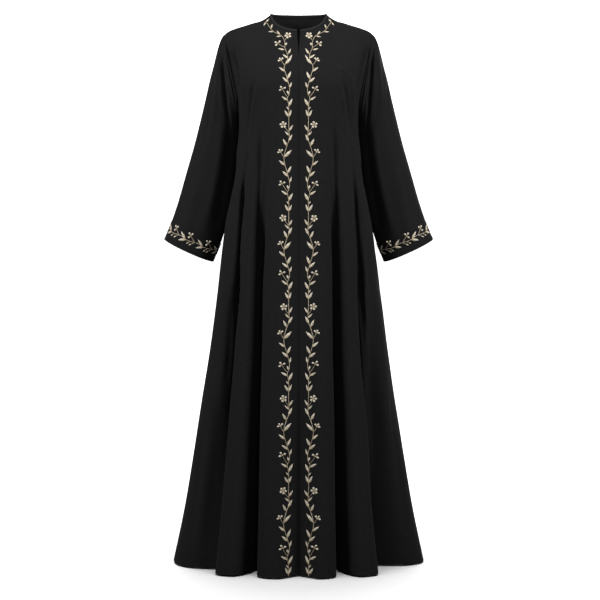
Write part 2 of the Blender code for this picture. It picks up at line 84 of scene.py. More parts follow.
SLEEVE_ROUNDNESS = 2.2  # exponent of a sleeve section; 2 is an ellipse, more is squarer
SMALL_STEP = 0.004  # step down from the bust line that gives the slope there
FAIR_PASSES = 3  # rounds of fairing of the yoke, for one grid step to a column
ARMHOLE_REACH = 4  # exponent; a higher one lets the armhole's curve move fewer of the columns next to it
FOLD_FADE = 0.300  # height over which a fold grows from nothing
FOLD_ROUNDING = 2  # columns before a fold's edge over which the cloth turns in to it
FOLD_SIDEWAYS = 0.5  # share of a fold's depth that follows the section's sideways slope
CAP_TOP = (0.009, -0.018)  # how far out and down the sleeve goes in its first row, at the shoulder point
CAP_FOOT = (-0.0010, -0.013)  # and at the underarm

COLUMN_STEPS = 5  # grid steps to a column
YOKE_ROWS = 66
ARMHOLE_ROWS = 26
SKIRT_ROWS = 126
SLEEVE_ROW_STEPS = 12  # grid rows to a row of the sleeve's table
FAIR_ENDS = 8  # the fairing fades over one part in so many of the yoke's height at each end
SEAM_WIDTH = 0.0022  # reach of the little groove that the cloth makes at a seam
HEM_RIDGE = 0.004  # and of the ridge at a hem's upper edge
SEAM_LAP = 0.008  # seam allowance of the sleeve, turned in behind the panels

# ---------------------------------------------------------------- tables of the form


def table_of(kind, *rows):
    """A table with one row of a kind for each tuple of values."""
    return tuple(kind(*row) for row in rows)


# Body sections: half width at the sides, depth in front of and behind the side seams, and roundness, the
# exponent of the outline: 2 is an ellipse, more is squarer.
Section = namedtuple("Section", "z half_width front back roundness")
SECTIONS = table_of(
    Section,
    (-0.200, 0.1710, 0.1310, 0.106, 2.30),
    (-0.230, 0.1645, 0.1313, 0.107, 2.30),
    (-0.260, 0.1600, 0.1317, 0.107, 2.30),
    (-0.300, 0.1590, 0.1322, 0.108, 2.30),
    (-0.344, 0.1635, 0.1330, 0.110, 2.30),
    (-0.410, 0.1740, 0.1350, 0.114, 2.30),
    (-0.476, 0.1870, 0.1385, 0.119, 2.28),
    (-0.569, 0.1975, 0.1460, 0.128, 2.25),
    (-0.741, 0.2170, 0.1640, 0.146, 2.20),
    (-0.868, 0.2340, 0.1800, 0.159, 2.15),
    (-1.006, 0.2560, 0.1990, 0.175, 2.15),
    (-1.154, 0.2790, 0.2190, 0.192, 2.15),
    (-1.281, 0.3000, 0.2410, 0.207, 2.15),
    (-1.422, 0.3290, 0.2650, 0.224, 2.15),
)

# Shoulder seam, from the neck hole out to the shoulder point.
Shoulder = namedtuple("Shoulder", "x y z")
SHOULDER = table_of(
    Shoulder,
    (0.0760, 0.0080, 0.0155),
    (0.0860, 0.0080, 0.0075),
    (0.0985, 0.0080, 0.0000),
    (0.1180, 0.0075, -0.0055),
    (0.1420, 0.0070, -0.0130),
    (0.1690, 0.0060, -0.0215),
    (0.1870, 0.0050, -0.0295),
    (0.2000, 0.0050, -0.0400),
)

# How the yoke leaves its top edge: its pull outwards, away from the seam and down, at a guide's top.
Pull = namedtuple("Pull", "top out away down")
FRONT_PULL = table_of(
    Pull,
    (0.0, 0.000, 0.078, 0.128),
    (0.5, 0.030, 0.078, 0.115),
    (0.8, 0.050, 0.082, 0.088),
    (1.0, 0.048, 0.096, 0.066),
    (1.2, 0.030, 0.120, 0.044),
    (1.5, 0.008, 0.132, 0.034),
    (1.8, -0.015, 0.112, 0.042),
    (2.0, -0.032, 0.085, 0.060),
)
BACK_PULL = table_of(
    Pull,
    (0.0, 0.000, 0.060, 0.130),
    (0.5, 0.026, 0.062, 0.116),
    (0.8, 0.046, 0.068, 0.088),
    (1.0, 0.046, 0.084, 0.066),
    (1.2, 0.028, 0.106, 0.044),
    (1.5, 0.008, 0.118, 0.034),
    (1.8, -0.010, 0.102, 0.042),
    (2.0, -0.026, 0.080, 0.060),
)

# Guide lines run down a panel from its top edge to the hem. The top is 0 to 1 round the neck hole and 1 to 2
# along the shoulder seam. The distances from the centre line are at the bust line, the hip and the hem, and
# columns counts the columns since the guide before. The last guide is the armhole and the side seam.
Guide = namedtuple("Guide", "name top bust hip hem columns")
SIDE = 1.0  # a distance past every section, so the guide stays at the side seam
FRONT_RIGHT_GUIDES = table_of(
    Guide,
    ("front edge", 0.00, 0.000, 0.000, 0.000, 0),
    ("edge turn", 0.12, 0.012, 0.014, 0.014, 1),
    ("inner fold edge", 0.62, 0.062, 0.087, 0.101, 3),
    ("inner fold floor", 0.80, 0.076, 0.100, 0.117, 2),
    ("neck corner", 1.00, 0.090, 0.116, 0.145, 2),
    ("inner fold end", 1.12, 0.100, 0.132, 0.174, 1),
    ("outer fold edge", 1.52, 0.128, 0.156, 0.210, 3),
    ("outer fold floor", 1.62, 0.134, 0.164, 0.226, 2),
    ("outer fold end", 1.88, 0.153, 0.196, 0.320, 4),
    ("side", 2.00, 0.163, SIDE, SIDE, 1),
)
FRONT_LEFT_GUIDES = table_of(
    Guide,
    ("front edge", 0.00, 0.000, 0.000, 0.000, 0),
    ("edge turn", 0.12, 0.012, 0.014, 0.014, 1),
    ("inner fold edge", 0.60, 0.058, 0.081, 0.091, 3),
    ("inner fold floor", 0.80, 0.074, 0.096, 0.108, 2),
    ("neck corner", 1.00, 0.090, 0.113, 0.134, 2),
    ("inner fold end", 1.12, 0.100, 0.128, 0.160, 1),
    ("outer fold edge", 1.54, 0.130, 0.150, 0.204, 3),
    ("outer fold floor", 1.64, 0.136, 0.159, 0.222, 2),
    ("outer fold end", 1.90, 0.154, 0.200, 0.325, 4),
    ("side", 2.00, 0.163, SIDE, SIDE, 1),
)
BACK_RIGHT_GUIDES = table_of(
    Guide,
    ("centre back", 0.00, 0.000, 0.000, 0.000, 0),
    ("inner fold edge", 0.46, 0.042, 0.062, 0.088, 3),
    ("inner fold floor", 0.62, 0.056, 0.074, 0.106, 2),
    ("neck corner", 1.00, 0.092, 0.102, 0.150, 3),
    ("inner fold end", 1.06, 0.097, 0.110, 0.164, 1),
    ("outer fold edge", 1.44, 0.124, 0.136, 0.200, 2),
    ("outer fold floor", 1.56, 0.132, 0.146, 0.218, 2),
    ("outer fold end", 1.86, 0.154, 0.182, 0.290, 3),
    ("side", 2.00, 0.166, SIDE, SIDE, 2),
)
BACK_LEFT_GUIDES = table_of(
    Guide,
    ("centre back", 0.00, 0.000, 0.000, 0.000, 0),
    ("inner fold edge", 0.38, 0.034, 0.052, 0.068, 3),
    ("inner fold floor", 0.56, 0.050, 0.065, 0.086, 2),
    ("inner fold end", 0.94, 0.086, 0.096, 0.138, 2),
    ("neck corner", 1.00, 0.092, 0.103, 0.148, 1),
    ("outer fold edge", 1.42, 0.122, 0.130, 0.186, 3),
    ("outer fold floor", 1.54, 0.130, 0.141, 0.205, 2),
    ("outer fold end", 1.86, 0.154, 0.180, 0.284, 3),
    ("side", 2.00, 0.166, SIDE, SIDE, 2),
)

# Folds: each lies between three guide lines, with a sharp edge, a floor and a gentle rise. It starts at a
# height, and its floor lies this far in from the body section at the hip and at the hem.
Fold = namedtuple("Fold", "name start hip_depth hem_depth")
FRONT_RIGHT_FOLDS = (Fold("inner fold", -0.320, 0.044, 0.105), Fold("outer fold", -0.210, 0.026, 0.062))
FRONT_LEFT_FOLDS = (Fold("inner fold", -0.330, 0.046, 0.108), Fold("outer fold", -0.205, 0.028, 0.118))
BACK_RIGHT_FOLDS = (Fold("inner fold", -0.360, 0.030, 0.084), Fold("outer fold", -0.300, 0.026, 0.082))
BACK_LEFT_FOLDS = (Fold("inner fold", -0.400, 0.026, 0.076), Fold("outer fold", -0.280, 0.030, 0.090))

# Sleeve sections, shoulder to cuff, for the left sleeve: the outer and inner edges seen from the front, where
# the middle lies front to back, half the depth there, and how much lower the front of the section hangs.
Sleeve = namedtuple("Sleeve", "outer_x outer_z inner_x inner_z mid_y half_depth drop rows")
SLEEVE_SECTIONS = table_of(
    Sleeve,
    (0.2305, -0.142, 0.1588, -0.292, 0.004, 0.060, 0.000, 2),
    (0.2505, -0.225, 0.1600, -0.320, 0.010, 0.061, 0.000, 2),
    (0.2745, -0.320, 0.1655, -0.372, 0.017, 0.061, 0.001, 2),
    (0.2985, -0.403, 0.1745, -0.440, 0.021, 0.060, 0.002, 2),
    (0.3210, -0.482, 0.1865, -0.516, 0.020, 0.057, 0.004, 2),
    (0.3408, -0.541, 0.2045, -0.583, 0.015, 0.053, 0.006, 2),
    (0.3566, -0.578, 0.2250, -0.638, 0.010, 0.048, 0.009, 2),
)

# ---------------------------------------------------------------- creases

# A crease runs over the cloth through three points and fades at both ends. Its row has the two places of each
# point, its width, where it has faded to a third, and its height, below nothing for a trough. On the body a
# point is its distance from the centre line and its height. On a sleeve it is an angle round it in degrees, 0
# at the shoulder point, 90 in front and 180 under the arm, and the share of the way down to the cuff.
SLEEVE_PLAN = (0.0012, 0.56)  # metres of cloth to a degree round a sleeve, and from armhole to cuff
CREASE_STEPS = 96
CREASE_FADES = (0.30, 0.35)  # shares of its length over which a crease comes up and dies away
FRONT_RIGHT_CREASES = (
    (0.192, -0.055, 0.172, -0.150, 0.156, -0.248, 0.0036, -0.0050),
    (0.185, -0.062, 0.169, -0.129, 0.152, -0.212, 0.0028, 0.0026),
    (0.178, -0.066, 0.163, -0.142, 0.147, -0.242, 0.0046, -0.0110),
    (0.147, -0.145, 0.145, -0.235, 0.147, -0.330, 0.0060, 0.0036),
    (0.114, -0.160, 0.1244, -0.248, 0.137, -0.345, 0.0055, -0.0050),
    (0.109, -0.180, 0.1180, -0.259, 0.128, -0.350, 0.0050, 0.0034),
    (0.130, -0.300, 0.1425, -0.540, 0.154, -0.800, 0.0040, 0.0040),
    (0.1370, -0.370, 0.1490, -0.610, 0.165, -0.870, 0.0055, -0.0080),
    (0.1500, -0.440, 0.1612, -0.626, 0.180, -0.800, 0.0080, 0.0050),
    (0.0960, -0.270, 0.1000, -0.470, 0.0950, -0.720, 0.0095, -0.0110),
    (0.172, -0.340, 0.180, -0.440, 0.188, -0.560, 0.0110, -0.0075),
    (0.182, -0.560, 0.189, -0.800, 0.202, -1.080, 0.0140, 0.0070),
    (0.212, -0.900, 0.236, -1.150, 0.262, -1.440, 0.0160, 0.0080),
    (0.168, -0.700, 0.178, -0.860, 0.190, -1.000, 0.0080, -0.0045),
    (0.226, -0.980, 0.252, -1.180, 0.284, -1.430, 0.0110, -0.0060),
)
FRONT_LEFT_CREASES = (
    (0.190, -0.050, 0.164, -0.142, 0.147, -0.262, 0.0050, -0.0110),
    (0.184, -0.076, 0.173, -0.130, 0.160, -0.196, 0.0030, 0.0012),
    (0.096, -0.138, 0.124, -0.156, 0.144, -0.188, 0.0050, 0.0034),
    (0.142, -0.160, 0.142, -0.245, 0.148, -0.340, 0.0055, 0.0038),
    (0.112, -0.155, 0.1249, -0.237, 0.140, -0.340, 0.0056, -0.0048),
    (0.109, -0.185, 0.1205, -0.262, 0.131, -0.350, 0.0048, 0.0034),
    (0.126, -0.320, 0.1383, -0.527, 0.151, -0.720, 0.0045, 0.0056),
    (0.1385, -0.350, 0.1540, -0.629, 0.168, -0.860, 0.0050, -0.0070),
    (0.1655, -0.560, 0.1725, -0.770, 0.179, -0.980, 0.0050, 0.0090),
    (0.1570, -0.700, 0.1690, -0.960, 0.186, -1.270, 0.0080, 0.0110),
    (0.0900, -0.260, 0.0940, -0.430, 0.0935, -0.640, 0.0095, -0.0100),
    (0.172, -0.340, 0.181, -0.450, 0.189, -0.580, 0.0110, -0.0070),
    (0.196, -0.660, 0.214, -0.900, 0.240, -1.200, 0.0160, 0.0065),
    (0.182, -0.600, 0.190, -0.740, 0.202, -0.900, 0.0090, -0.0050),
    (0.230, -0.900, 0.256, -1.140, 0.290, -1.430, 0.0120, -0.0064),
)
BACK_RIGHT_CREASES = (
    (0.180, -0.055, 0.161, -0.140, 0.150, -0.240, 0.0050, -0.0096),
    (0.150, -0.080, 0.146, -0.170, 0.146, -0.300, 0.0060, 0.0034),
    (0.118, -0.070, 0.108, -0.190, 0.104, -0.340, 0.0120, -0.0030),
    (0.126, -0.220, 0.124, -0.360, 0.131, -0.560, 0.0080, 0.0040),
    (0.032, -0.180, 0.040, -0.380, 0.052, -0.640, 0.0120, 0.0038),
    (0.060, -0.120, 0.070, -0.230, 0.072, -0.370, 0.0090, 0.0024),
    (0.176, -0.620, 0.190, -0.880, 0.214, -1.190, 0.0150, 0.0070),
    (0.218, -0.940, 0.244, -1.170, 0.270, -1.430, 0.0120, -0.0060),
    (0.000, -0.560, 0.002, -0.860, 0.008, -1.440, 0.0220, -0.0060),
)
BACK_LEFT_CREASES = (
    (0.183, -0.060, 0.163, -0.150, 0.151, -0.250, 0.0050, -0.0104),
    (0.148, -0.110, 0.144, -0.200, 0.147, -0.320, 0.0055, 0.0030),
    (0.108, -0.060, 0.098, -0.170, 0.096, -0.300, 0.0110, -0.0026),
    (0.122, -0.200, 0.121, -0.330, 0.126, -0.500, 0.0085, 0.0036),
    (0.024, -0.230, 0.030, -0.420, 0.040, -0.700, 0.0110, 0.0032),
    (0.066, -0.100, 0.062, -0.200, 0.068, -0.310, 0.0100, -0.0022),
    (0.188, -0.560, 0.204, -0.820, 0.232, -1.130, 0.0160, 0.0074),
    (0.226, -0.900, 0.250, -1.140, 0.282, -1.430, 0.0130, -0.0064),
)
SLEEVE_RIGHT_CREASES = (
    (166.0, 0.00, 166.0, 0.22, 168.0, 0.62, 0.012, 0.0022),
    (10.0, 0.004, 72.0, 0.012, 138.0, 0.010, 0.0050, -0.0085),
    (14.0, 0.012, 76.0, 0.076, 136.0, 0.130, 0.0058, 0.0036),
    (14.0, 0.070, 88.0, 0.165, 128.0, 0.360, 0.0120, -0.0130),
    (2.0, 0.100, 60.0, 0.215, 78.0, 0.420, 0.0080, 0.0056),
    (28.0, 0.240, 52.0, 0.330, 66.0, 0.500, 0.0080, -0.0036),
    (92.0, 0.300, 104.0, 0.550, 100.0, 0.920, 0.0120, 0.0044),
    (118.0, 0.260, 134.0, 0.500, 132.0, 0.900, 0.0160, -0.0090),
    (58.0, 0.580, 66.0, 0.800, 70.0, 1.020, 0.0160, 0.0036),
    (346.0, 0.010, 282.0, 0.080, 208.0, 0.150, 0.0055, 0.0030),
    (338.0, 0.050, 262.0, 0.160, 236.0, 0.330, 0.0100, -0.0110),
    (352.0, 0.090, 296.0, 0.210, 282.0, 0.420, 0.0100, 0.0050),
    (228.0, 0.440, 244.0, 0.680, 252.0, 1.000, 0.0150, -0.0048),
)
SLEEVE_LEFT_CREASES = (
    (165.0, 0.00, 167.0, 0.24, 168.0, 0.60, 0.012, 0.0022),
    (14.0, 0.003, 76.0, 0.006, 140.0, 0.003, 0.0044, -0.0070),
    (30.0, 0.012, 94.0, 0.076, 142.0, 0.165, 0.0052, 0.0034),
    (6.0, 0.040, 92.0, 0.145, 132.0, 0.360, 0.0075, -0.0140),
    (6.0, 0.085, 56.0, 0.190, 88.0, 0.370, 0.0080, 0.0056),
    (24.0, 0.220, 50.0, 0.320, 60.0, 0.470, 0.0090, -0.0034),
    (96.0, 0.320, 108.0, 0.560, 102.0, 0.940, 0.0120, 0.0044),
    (124.0, 0.270, 138.0, 0.520, 134.0, 0.920, 0.0150, -0.0092),
    (62.0, 0.500, 72.0, 0.740, 74.0, 1.020, 0.0160, 0.0038),
    (342.0, 0.012, 276.0, 0.090, 212.0, 0.140, 0.0050, 0.0030),
    (344.0, 0.040, 268.0, 0.150, 230.0, 0.360, 0.0090, -0.0115),
    (350.0, 0.080, 300.0, 0.190, 286.0, 0.380, 0.0090, 0.0048),
    (232.0, 0.500, 240.0, 0.740, 256.0, 1.000, 0.0150, -0.0044),
)

# What makes each half panel, left and right: its guides, folds and creases.
PANELS = {
    "front": ((FRONT_LEFT_GUIDES, FRONT_LEFT_FOLDS, FRONT_LEFT_CREASES),
              (FRONT_RIGHT_GUIDES, FRONT_RIGHT_FOLDS, FRONT_RIGHT_CREASES)),
    "back": ((BACK_LEFT_GUIDES, BACK_LEFT_FOLDS, BACK_LEFT_CREASES),
             (BACK_RIGHT_GUIDES, BACK_RIGHT_FOLDS, BACK_RIGHT_CREASES)),
}

# The width and length that each piece of crepe is cut to, with its turnings, and its area.
CUTS = {
    "front_left": ((0.73, 1.51), 0.63),
    "front_right": ((0.68, 1.51), 0.61),
    "back": ((1.27, 1.50), 1.10),
    "sleeve_left": ((0.43, 0.60), 0.21),
    "sleeve_right": ((0.43, 0.60), 0.21),
}

# ---------------------------------------------------------------- vines

# Heights at which the repeats of the front vine start, and the last one would end, below the hem.
VINE_STARTS = (-0.055, -0.2945, -0.536, -0.759, -0.991, -1.216, -1.437)
VINE_FIRST_SHARE = 0.34  # share of the topmost repeat at which the neck's branch takes over
VINE_FOOT_Z = -1.4205

# The front vine's stem: share down the repeat, and distance from the centre line.
STEM_CHART = ((0.000, 0.0250), (0.066, 0.0245), (0.141, 0.0236), (0.235, 0.0309), (0.329, 0.0366),
              (0.376, 0.0368), (0.479, 0.0309), (0.545, 0.0265), (0.620, 0.0228), (0.676, 0.0240),
              (0.714, 0.0284), (0.770, 0.0261), (0.845, 0.0248), (0.920, 0.0250))

# What grows from the stem: at a share of the repeat, on its outer (1) or inner (-1) side, with its length and
# its angle from the way that the band runs: up the front, and round the cuff.
Growth = namedtuple("Growth", "kind share side length angle")
VINE_CHART = table_of(
    Growth,
    ("leaf", 0.070, -1, 0.0181, 30.0),
    ("flower", 0.080, 1, 0.0240, 35.0),
    ("leaf", 0.117, 1, 0.0164, 42.0),
    ("leaf", 0.183, -1, 0.0217, 27.0),
    ("leaf", 0.223, 1, 0.0211, 26.0),
    ("leaf", 0.347, -1, 0.0265, 42.0),
    ("blossom", 0.352, 1, 0.0165, 31.0),
    ("leaf", 0.432, 1, 0.0206, 52.0),
    ("leaf", 0.512, -1, 0.0224, 23.0),
    ("leaf", 0.552, 1, 0.0217, 48.0),
    ("leaf", 0.615, -1, 0.0168, 16.0),
    ("bud", 0.687, 1, 0.0118, 17.0),
    ("sprig", 0.712, 1, 0.0245, 32.0),
    ("leaf", 0.749, 1, 0.0196, 58.0),
    ("leaf", 0.803, -1, 0.0228, 25.0),
    ("leaf", 0.840, 1, 0.0108, 33.0),
    ("leaf", 0.915, 1, 0.0207, 28.0),
    ("leaf", 0.915, -1, 0.0194, 20.0),
)

# The neck's branch, from the front vine up round the neck to the shoulder: distances from the centre line and
# heights of its stem, and of the root and tip of what grows from it.
NECK_STEM = ((0.0278, -0.1216), (0.0290, -0.1080), (0.0353, -0.0913), (0.0358, -0.0759), (0.0384, -0.0647),
             (0.0438, -0.0562), (0.0516, -0.0500), (0.0652, -0.0415), (0.0738, -0.0301), (0.0838, -0.0127),
             (0.0867, -0.0093))
Branch = namedtuple("Branch", "kind root tip")
NECK_CHART = table_of(
    Branch,
    ("leaf", (0.0867, -0.0090), (0.0782, 0.0015)),
    ("leaf", (0.0867, -0.0090), (0.0925, -0.0200)),
    ("leaf", (0.0725, -0.0316), (0.0692, -0.0174)),
    ("leaf", (0.0658, -0.0420), (0.0800, -0.0408)),
    ("leaf", (0.0488, -0.0528), (0.0567, -0.0390)),
    ("leaf", (0.0446, -0.0562), (0.0588, -0.0580)),
    ("leaf", (0.0358, -0.0975), (0.0520, -0.0918)),
    ("leaf", (0.0267, -0.1093), (0.0190, -0.0934)),
    ("leaf", (0.0267, -0.1216), (0.0421, -0.1103)),
    ("leaf", (0.0240, -0.1240), (0.0165, -0.1115)),
    ("flower", (0.0345, -0.0690), (0.0278, -0.0541)),
    ("bud", (0.0355, -0.0850), (0.0300, -0.0770)),
    ("sprig", (0.0358, -0.0898), (0.0526, -0.0772)),
)

# The cuff's vine, once round in so many repeats: distances along and up from the hem in shares of the repeat
# and in metres.
CUFF_ROWS = 40  # grid rows of the sleeve, from its hem up, that it is worked on
CUFF_REPEATS = 8
CUFF_PHASE = 0.011  # where the first repeat starts past the front's middle
CUFF_STEM = ((0.00, 0.0317), (0.22, 0.0325), (0.45, 0.0297), (0.62, 0.0291), (0.85, 0.0307))
CUFF_CHART = table_of(
    Growth,
    ("sprig", 0.00, 1, 0.0185, 38.0),
    ("leaf", 0.44, 1, 0.0225, 40.0),
    ("leaf", 0.50, -1, 0.0225, 24.0),
    ("leaflet", 0.74, -1, 0.0140, 47.0),
    ("leaflet", 1.02, -1, 0.0190, 42.0),
)

LEAF_WIDTH = 0.31  # share of a leaf's length
LEAFLET_STALK = 0.46  # share of a leaflet's length
LEAFLET_WIDTH = 0.0034
LEAF_SPREAD = (4.0, 0.05)  # unevenness of hand-guided work: degrees of angle and share of length
PETALS = 5
PETAL_LENGTH = 0.0080
PETAL_WIDTH = 0.0062
PETAL_START = 0.0010  # from a flower's middle to the foot of a petal
BLOSSOM_START = 0.0008  # and in a half-open flower
BLOSSOM_WIDTH = 0.8 * PETAL_WIDTH
STALK_POINTS = 8
STALK_BOW = 0.09  # how far a stalk bows, as a share of four times its length
STALK_WIDTH = 0.001275
BUD_WIDTH = 0.0050
BEAD_LENGTH = 0.0074
BEAD_WIDTH = 0.0054
BEAD_ANGLES = (-98.0, 2.0, 80.0)  # of a sprig's buds, round its stalk's direction
BLOSSOM_ANGLES = (-64.0, 0.0, 62.0)  # of a half-open flower's petals
BEAD_START = 0.0020  # from the sprig's fork to the foot of a bud
BEAD_LAP = 0.001  # how far its stalk runs on under the bud
KNOT = 0.0034
STEM_WIDTH = 0.0015
STEM_HEIGHT = 0.0009
STEM_STEP = 0.003  # length of stem between its rings
STEM_SIDES = 6
RINGS = 6  # rings and sides of a leaf, petal or bud
SIDES = 8
NEWTON_ROUNDS = 12  # rounds in which a stitch's place on the cloth is found
SUNK = 0.0004  # how far embroidery reaches into the cloth
GROOVE = 0.32  # how much lower a leaf lies along its middle
SEED = 56

STRIP = 0.0005  # thickness of the bias strip that is folded over the neck's edge
BINDING_TOP = 9  # points of its section round the top
BINDING_SIDE = 3  # and down each side
THREAD_SLANT = np.radians(38)  # of the stitches, away from a shape's length
FLOOR_GAP = 0.004  # between the hem and the floor

SHARP = np.radians(55)  # edges that turn more than this are drawn sharp
ROOT = "root"  # the one body that every piece rides on


# ---------------------------------------------------------------- curves


def smooth(x, xs, ys):
    """A cubic through the points (xs, ys), xs rising, whose slope at each is that of its two neighbours."""
    xs, ys = np.asarray(xs, float), np.asarray(ys, float)
    slopes = np.gradient(ys, xs, axis=0)
    x = np.clip(x, xs[0], xs[-1])
    i = np.clip(np.searchsorted(xs, x, side="right") - 1, 0, len(xs) - 2)
    spare = (1,) * (ys.ndim - 1)
    width = (xs[i + 1] - xs[i]).reshape(np.shape(x) + spare)
    t = (x - xs[i]).reshape(np.shape(x) + spare) / width
    return hermite(t, ys[i], ys[i + 1], slopes[i] * width, slopes[i + 1] * width)


def hermite(t, start, end, start_slope, end_slope):
    """The cubic from start to end, leaving and arriving with the given slopes, at t from 0 to 1."""
    return (
        (2 * t**3 - 3 * t**2 + 1) * start
        + (t**3 - 2 * t**2 + t) * start_slope
        + (3 * t**2 - 2 * t**3) * end
        + (t**3 - t**2) * end_slope
    )


def ease(t):
    """0 to 1 with level ends."""
    t = np.clip(t, 0.0, 1.0)
    return t * t * (3 - 2 * t)


def unit(vectors):
    """The same directions, each of length one."""
    return vectors / np.linalg.norm(vectors, axis=-1, keepdims=True).clip(1e-9)


def walked(points):
    """How far along a line of points each of them lies."""
    return np.concatenate([[0.0], np.cumsum(np.linalg.norm(np.diff(points, axis=0), axis=1))])


def by_height(z, name):
    """A column of the section table, at the heights z."""
    rising = SECTIONS[::-1]
    return smooth(z, [s.z for s in rising], [getattr(s, name) for s in rising])


def guide_values(guides, name):
    """One column of a guide table."""
    return np.array([getattr(guide, name) for guide in guides])


def guide_places(guides):
    """The column at which each guide lies."""
    return np.cumsum(guide_values(guides, "columns"))


def column_places(guides):
    """The places of all the grid lines, counted in columns."""
    last = guide_places(guides)[-1]
    return np.linspace(0, last, last * COLUMN_STEPS + 1)


def neck_lines(guides):
    """How many grid lines of a panel start on the neck hole."""
    return sum(guide.columns for guide in guides if guide.top <= 1) * COLUMN_STEPS + 1


# ---------------------------------------------------------------- body panels


def turn_at(z, x):
    """The angle round the body section at height z, 0 at the centre and a quarter turn at the side, at x."""
    share = np.clip(x / by_height(z, "half_width"), 0.0, 1.0)
    return np.arcsin(share ** (by_height(z, "roundness") / 2))


def half_section(z, turn, facing):
    """Points of the body section at height z: a superellipse of its half width and its depth on one face."""
    power = 2 / by_height(z, "roundness")
    x = by_height(z, "half_width") * np.sin(turn) ** power
    y = facing * by_height(z, "front" if facing < 0 else "back") * np.cos(turn).clip(0) ** power
    return x, y


def panel_turns(z, guides):
    """The angle of every grid line at the heights z, which run down the first axis.

    The lines keep to their guides at the bust line, the hip and the hem. Down the armhole the last line turns
    from the armhole's width at the bust line to the side seam, along a quarter of an ellipse, and takes the
    lines next to it along.
    """
    places, column = guide_places(guides), column_places(guides)
    bust, hip, hem = (
        np.minimum(smooth(column, places, turns), turns[-1])
        for turns in (turn_at(height, guide_values(guides, name))
                      for height, name in ((BUST_Z, "bust"), (HIP_Z, "hip"), (HEM_Z, "hem")))
    )
    share = smooth(-z[:, 0], [-BUST_Z, -HIP_Z, -HEM_Z],
                   np.stack([turns / turns[-1] for turns in (bust, hip, hem)])).clip(0.0, 1.0)
    fall = np.clip((BUST_Z - z) / (BUST_Z - UNDERARM_Z), 0.0, 1.0)
    power = 2 / by_height(BUST_Z, "roundness")
    last = np.arccos((np.cos(bust[-1]) ** power * np.sqrt(1 - fall**2)) ** (1 / power))
    near = ease((z - HIP_Z) / (BUST_Z - HIP_Z))
    return share * (bust[-1] + (last - bust[-1]) * (1 - near * (1 - share**ARMHOLE_REACH)))


def fold_depth(z, guides, folds):
    """How far in each grid line lies at the heights z, from all the folds of the panel.

    Across a fold: a cube of the way from its start to its floor, then an eased fall to its end. Down it: a
    cubic through nothing, the hip depth and the hem depth.
    """
    at = dict(zip(guide_values(guides, "name"), guide_places(guides)))
    column = column_places(guides)
    depth = np.zeros((len(z), len(column)))
    for fold in folds:
        edge, floor, end = (at[f"{fold.name} {part}"] for part in ("edge", "floor", "end"))
        start = edge - FOLD_ROUNDING
        across = np.clip((column - start) / (floor - start), 0, 1) ** 3 * ease((end - column) / (end - floor))
        down = smooth(-z, [-fold.start, -HIP_Z, -HEM_Z], [0.0, fold.hip_depth, fold.hem_depth])
        depth += down * ease((fold.start - z) / FOLD_FADE) * across
    return depth


def lower_panel(z, guides, folds, facing):
    """The panel below the bust line: sections pushed in by the folds, at the heights z."""
    z = np.asarray(z, float)[:, None]
    turn = panel_turns(z, guides)
    x, y = half_section(z, turn, facing)
    depth = fold_depth(z, guides, folds)
    slope = FOLD_SIDEWAYS * np.sin(turn)
    level = np.hypot(slope, np.cos(turn))
    x = x - depth * slope / level
    y = y - facing * depth * np.cos(turn) / level
    return np.stack([x, y, z + np.zeros_like(x)], axis=-1)


def top_edge(top, facing):
    """Points of the neck hole, a quarter ellipse, for tops up to 1, and of the shoulder seam beyond it."""
    centre_y, centre_z = NECK_FRONT if facing < 0 else NECK_BACK
    side_y, side_z = NECK_SIDE
    turn = np.clip(top, 0.0, 1.0) * np.pi / 2
    seam_x = NECK_HALF + (SHOULDER[-1].x - NECK_HALF) * (top - 1)
    seam = smooth(seam_x, [s.x for s in SHOULDER], SHOULDER)
    neck = top <= 1
    x = np.where(neck, NECK_HALF * np.sin(turn), seam_x)
    y = np.where(neck, side_y + (centre_y - side_y) * np.cos(turn), seam[..., 1])
    z = np.where(neck, side_z + (centre_z - side_z) * np.cos(turn), seam[..., 2])
    return np.stack([x, y, z], axis=-1)


def yoke(guides, folds, facing):
    """The panel above the bust line: each grid line is a cubic from the top edge to the bust line.

    It is faired across by rounds that move each point towards the middle of its two neighbours, fading out
    to the top edge and to the bust line.
    """
    top = smooth(column_places(guides), guide_places(guides), guide_values(guides, "top"))
    start = top_edge(top, facing)
    bust, below = lower_panel([BUST_Z, BUST_Z - SMALL_STEP], guides, folds, facing)
    table = FRONT_PULL if facing < 0 else BACK_PULL
    leave = smooth(top, [p.top for p in table], [(p.out, p.away * facing, -p.down) for p in table])
    arrive = (below - bust) / SMALL_STEP * (start[:, 2:] - BUST_Z)
    t = np.linspace(0, 1, YOKE_ROWS + 1)[:, None, None]
    grid = hermite(t, start, bust, leave, arrive)
    faired = grid.copy()
    for _ in range(FAIR_PASSES * COLUMN_STEPS**2):
        faired[:, 1:-1] += (faired[:, :-2] + faired[:, 2:] - 2 * faired[:, 1:-1]) / 4
    return grid + (faired - grid) * ease(FAIR_ENDS * t) * ease(FAIR_ENDS * (1 - t))


def body_panel(guides, folds, facing):
    """One half of the front or back as a grid of points, rows from the top edge down to the hem."""
    turns = np.linspace(0, np.pi / 2, ARMHOLE_ROWS + 1)[1:]
    armhole = BUST_Z + (UNDERARM_Z - BUST_Z) * np.sin(turns)
    skirt = np.linspace(UNDERARM_Z, HEM_Z, SKIRT_ROWS + 1)[1:]
    heights = np.concatenate([armhole, skirt])
    return np.concatenate([yoke(guides, folds, facing), lower_panel(heights, guides, folds, facing)])


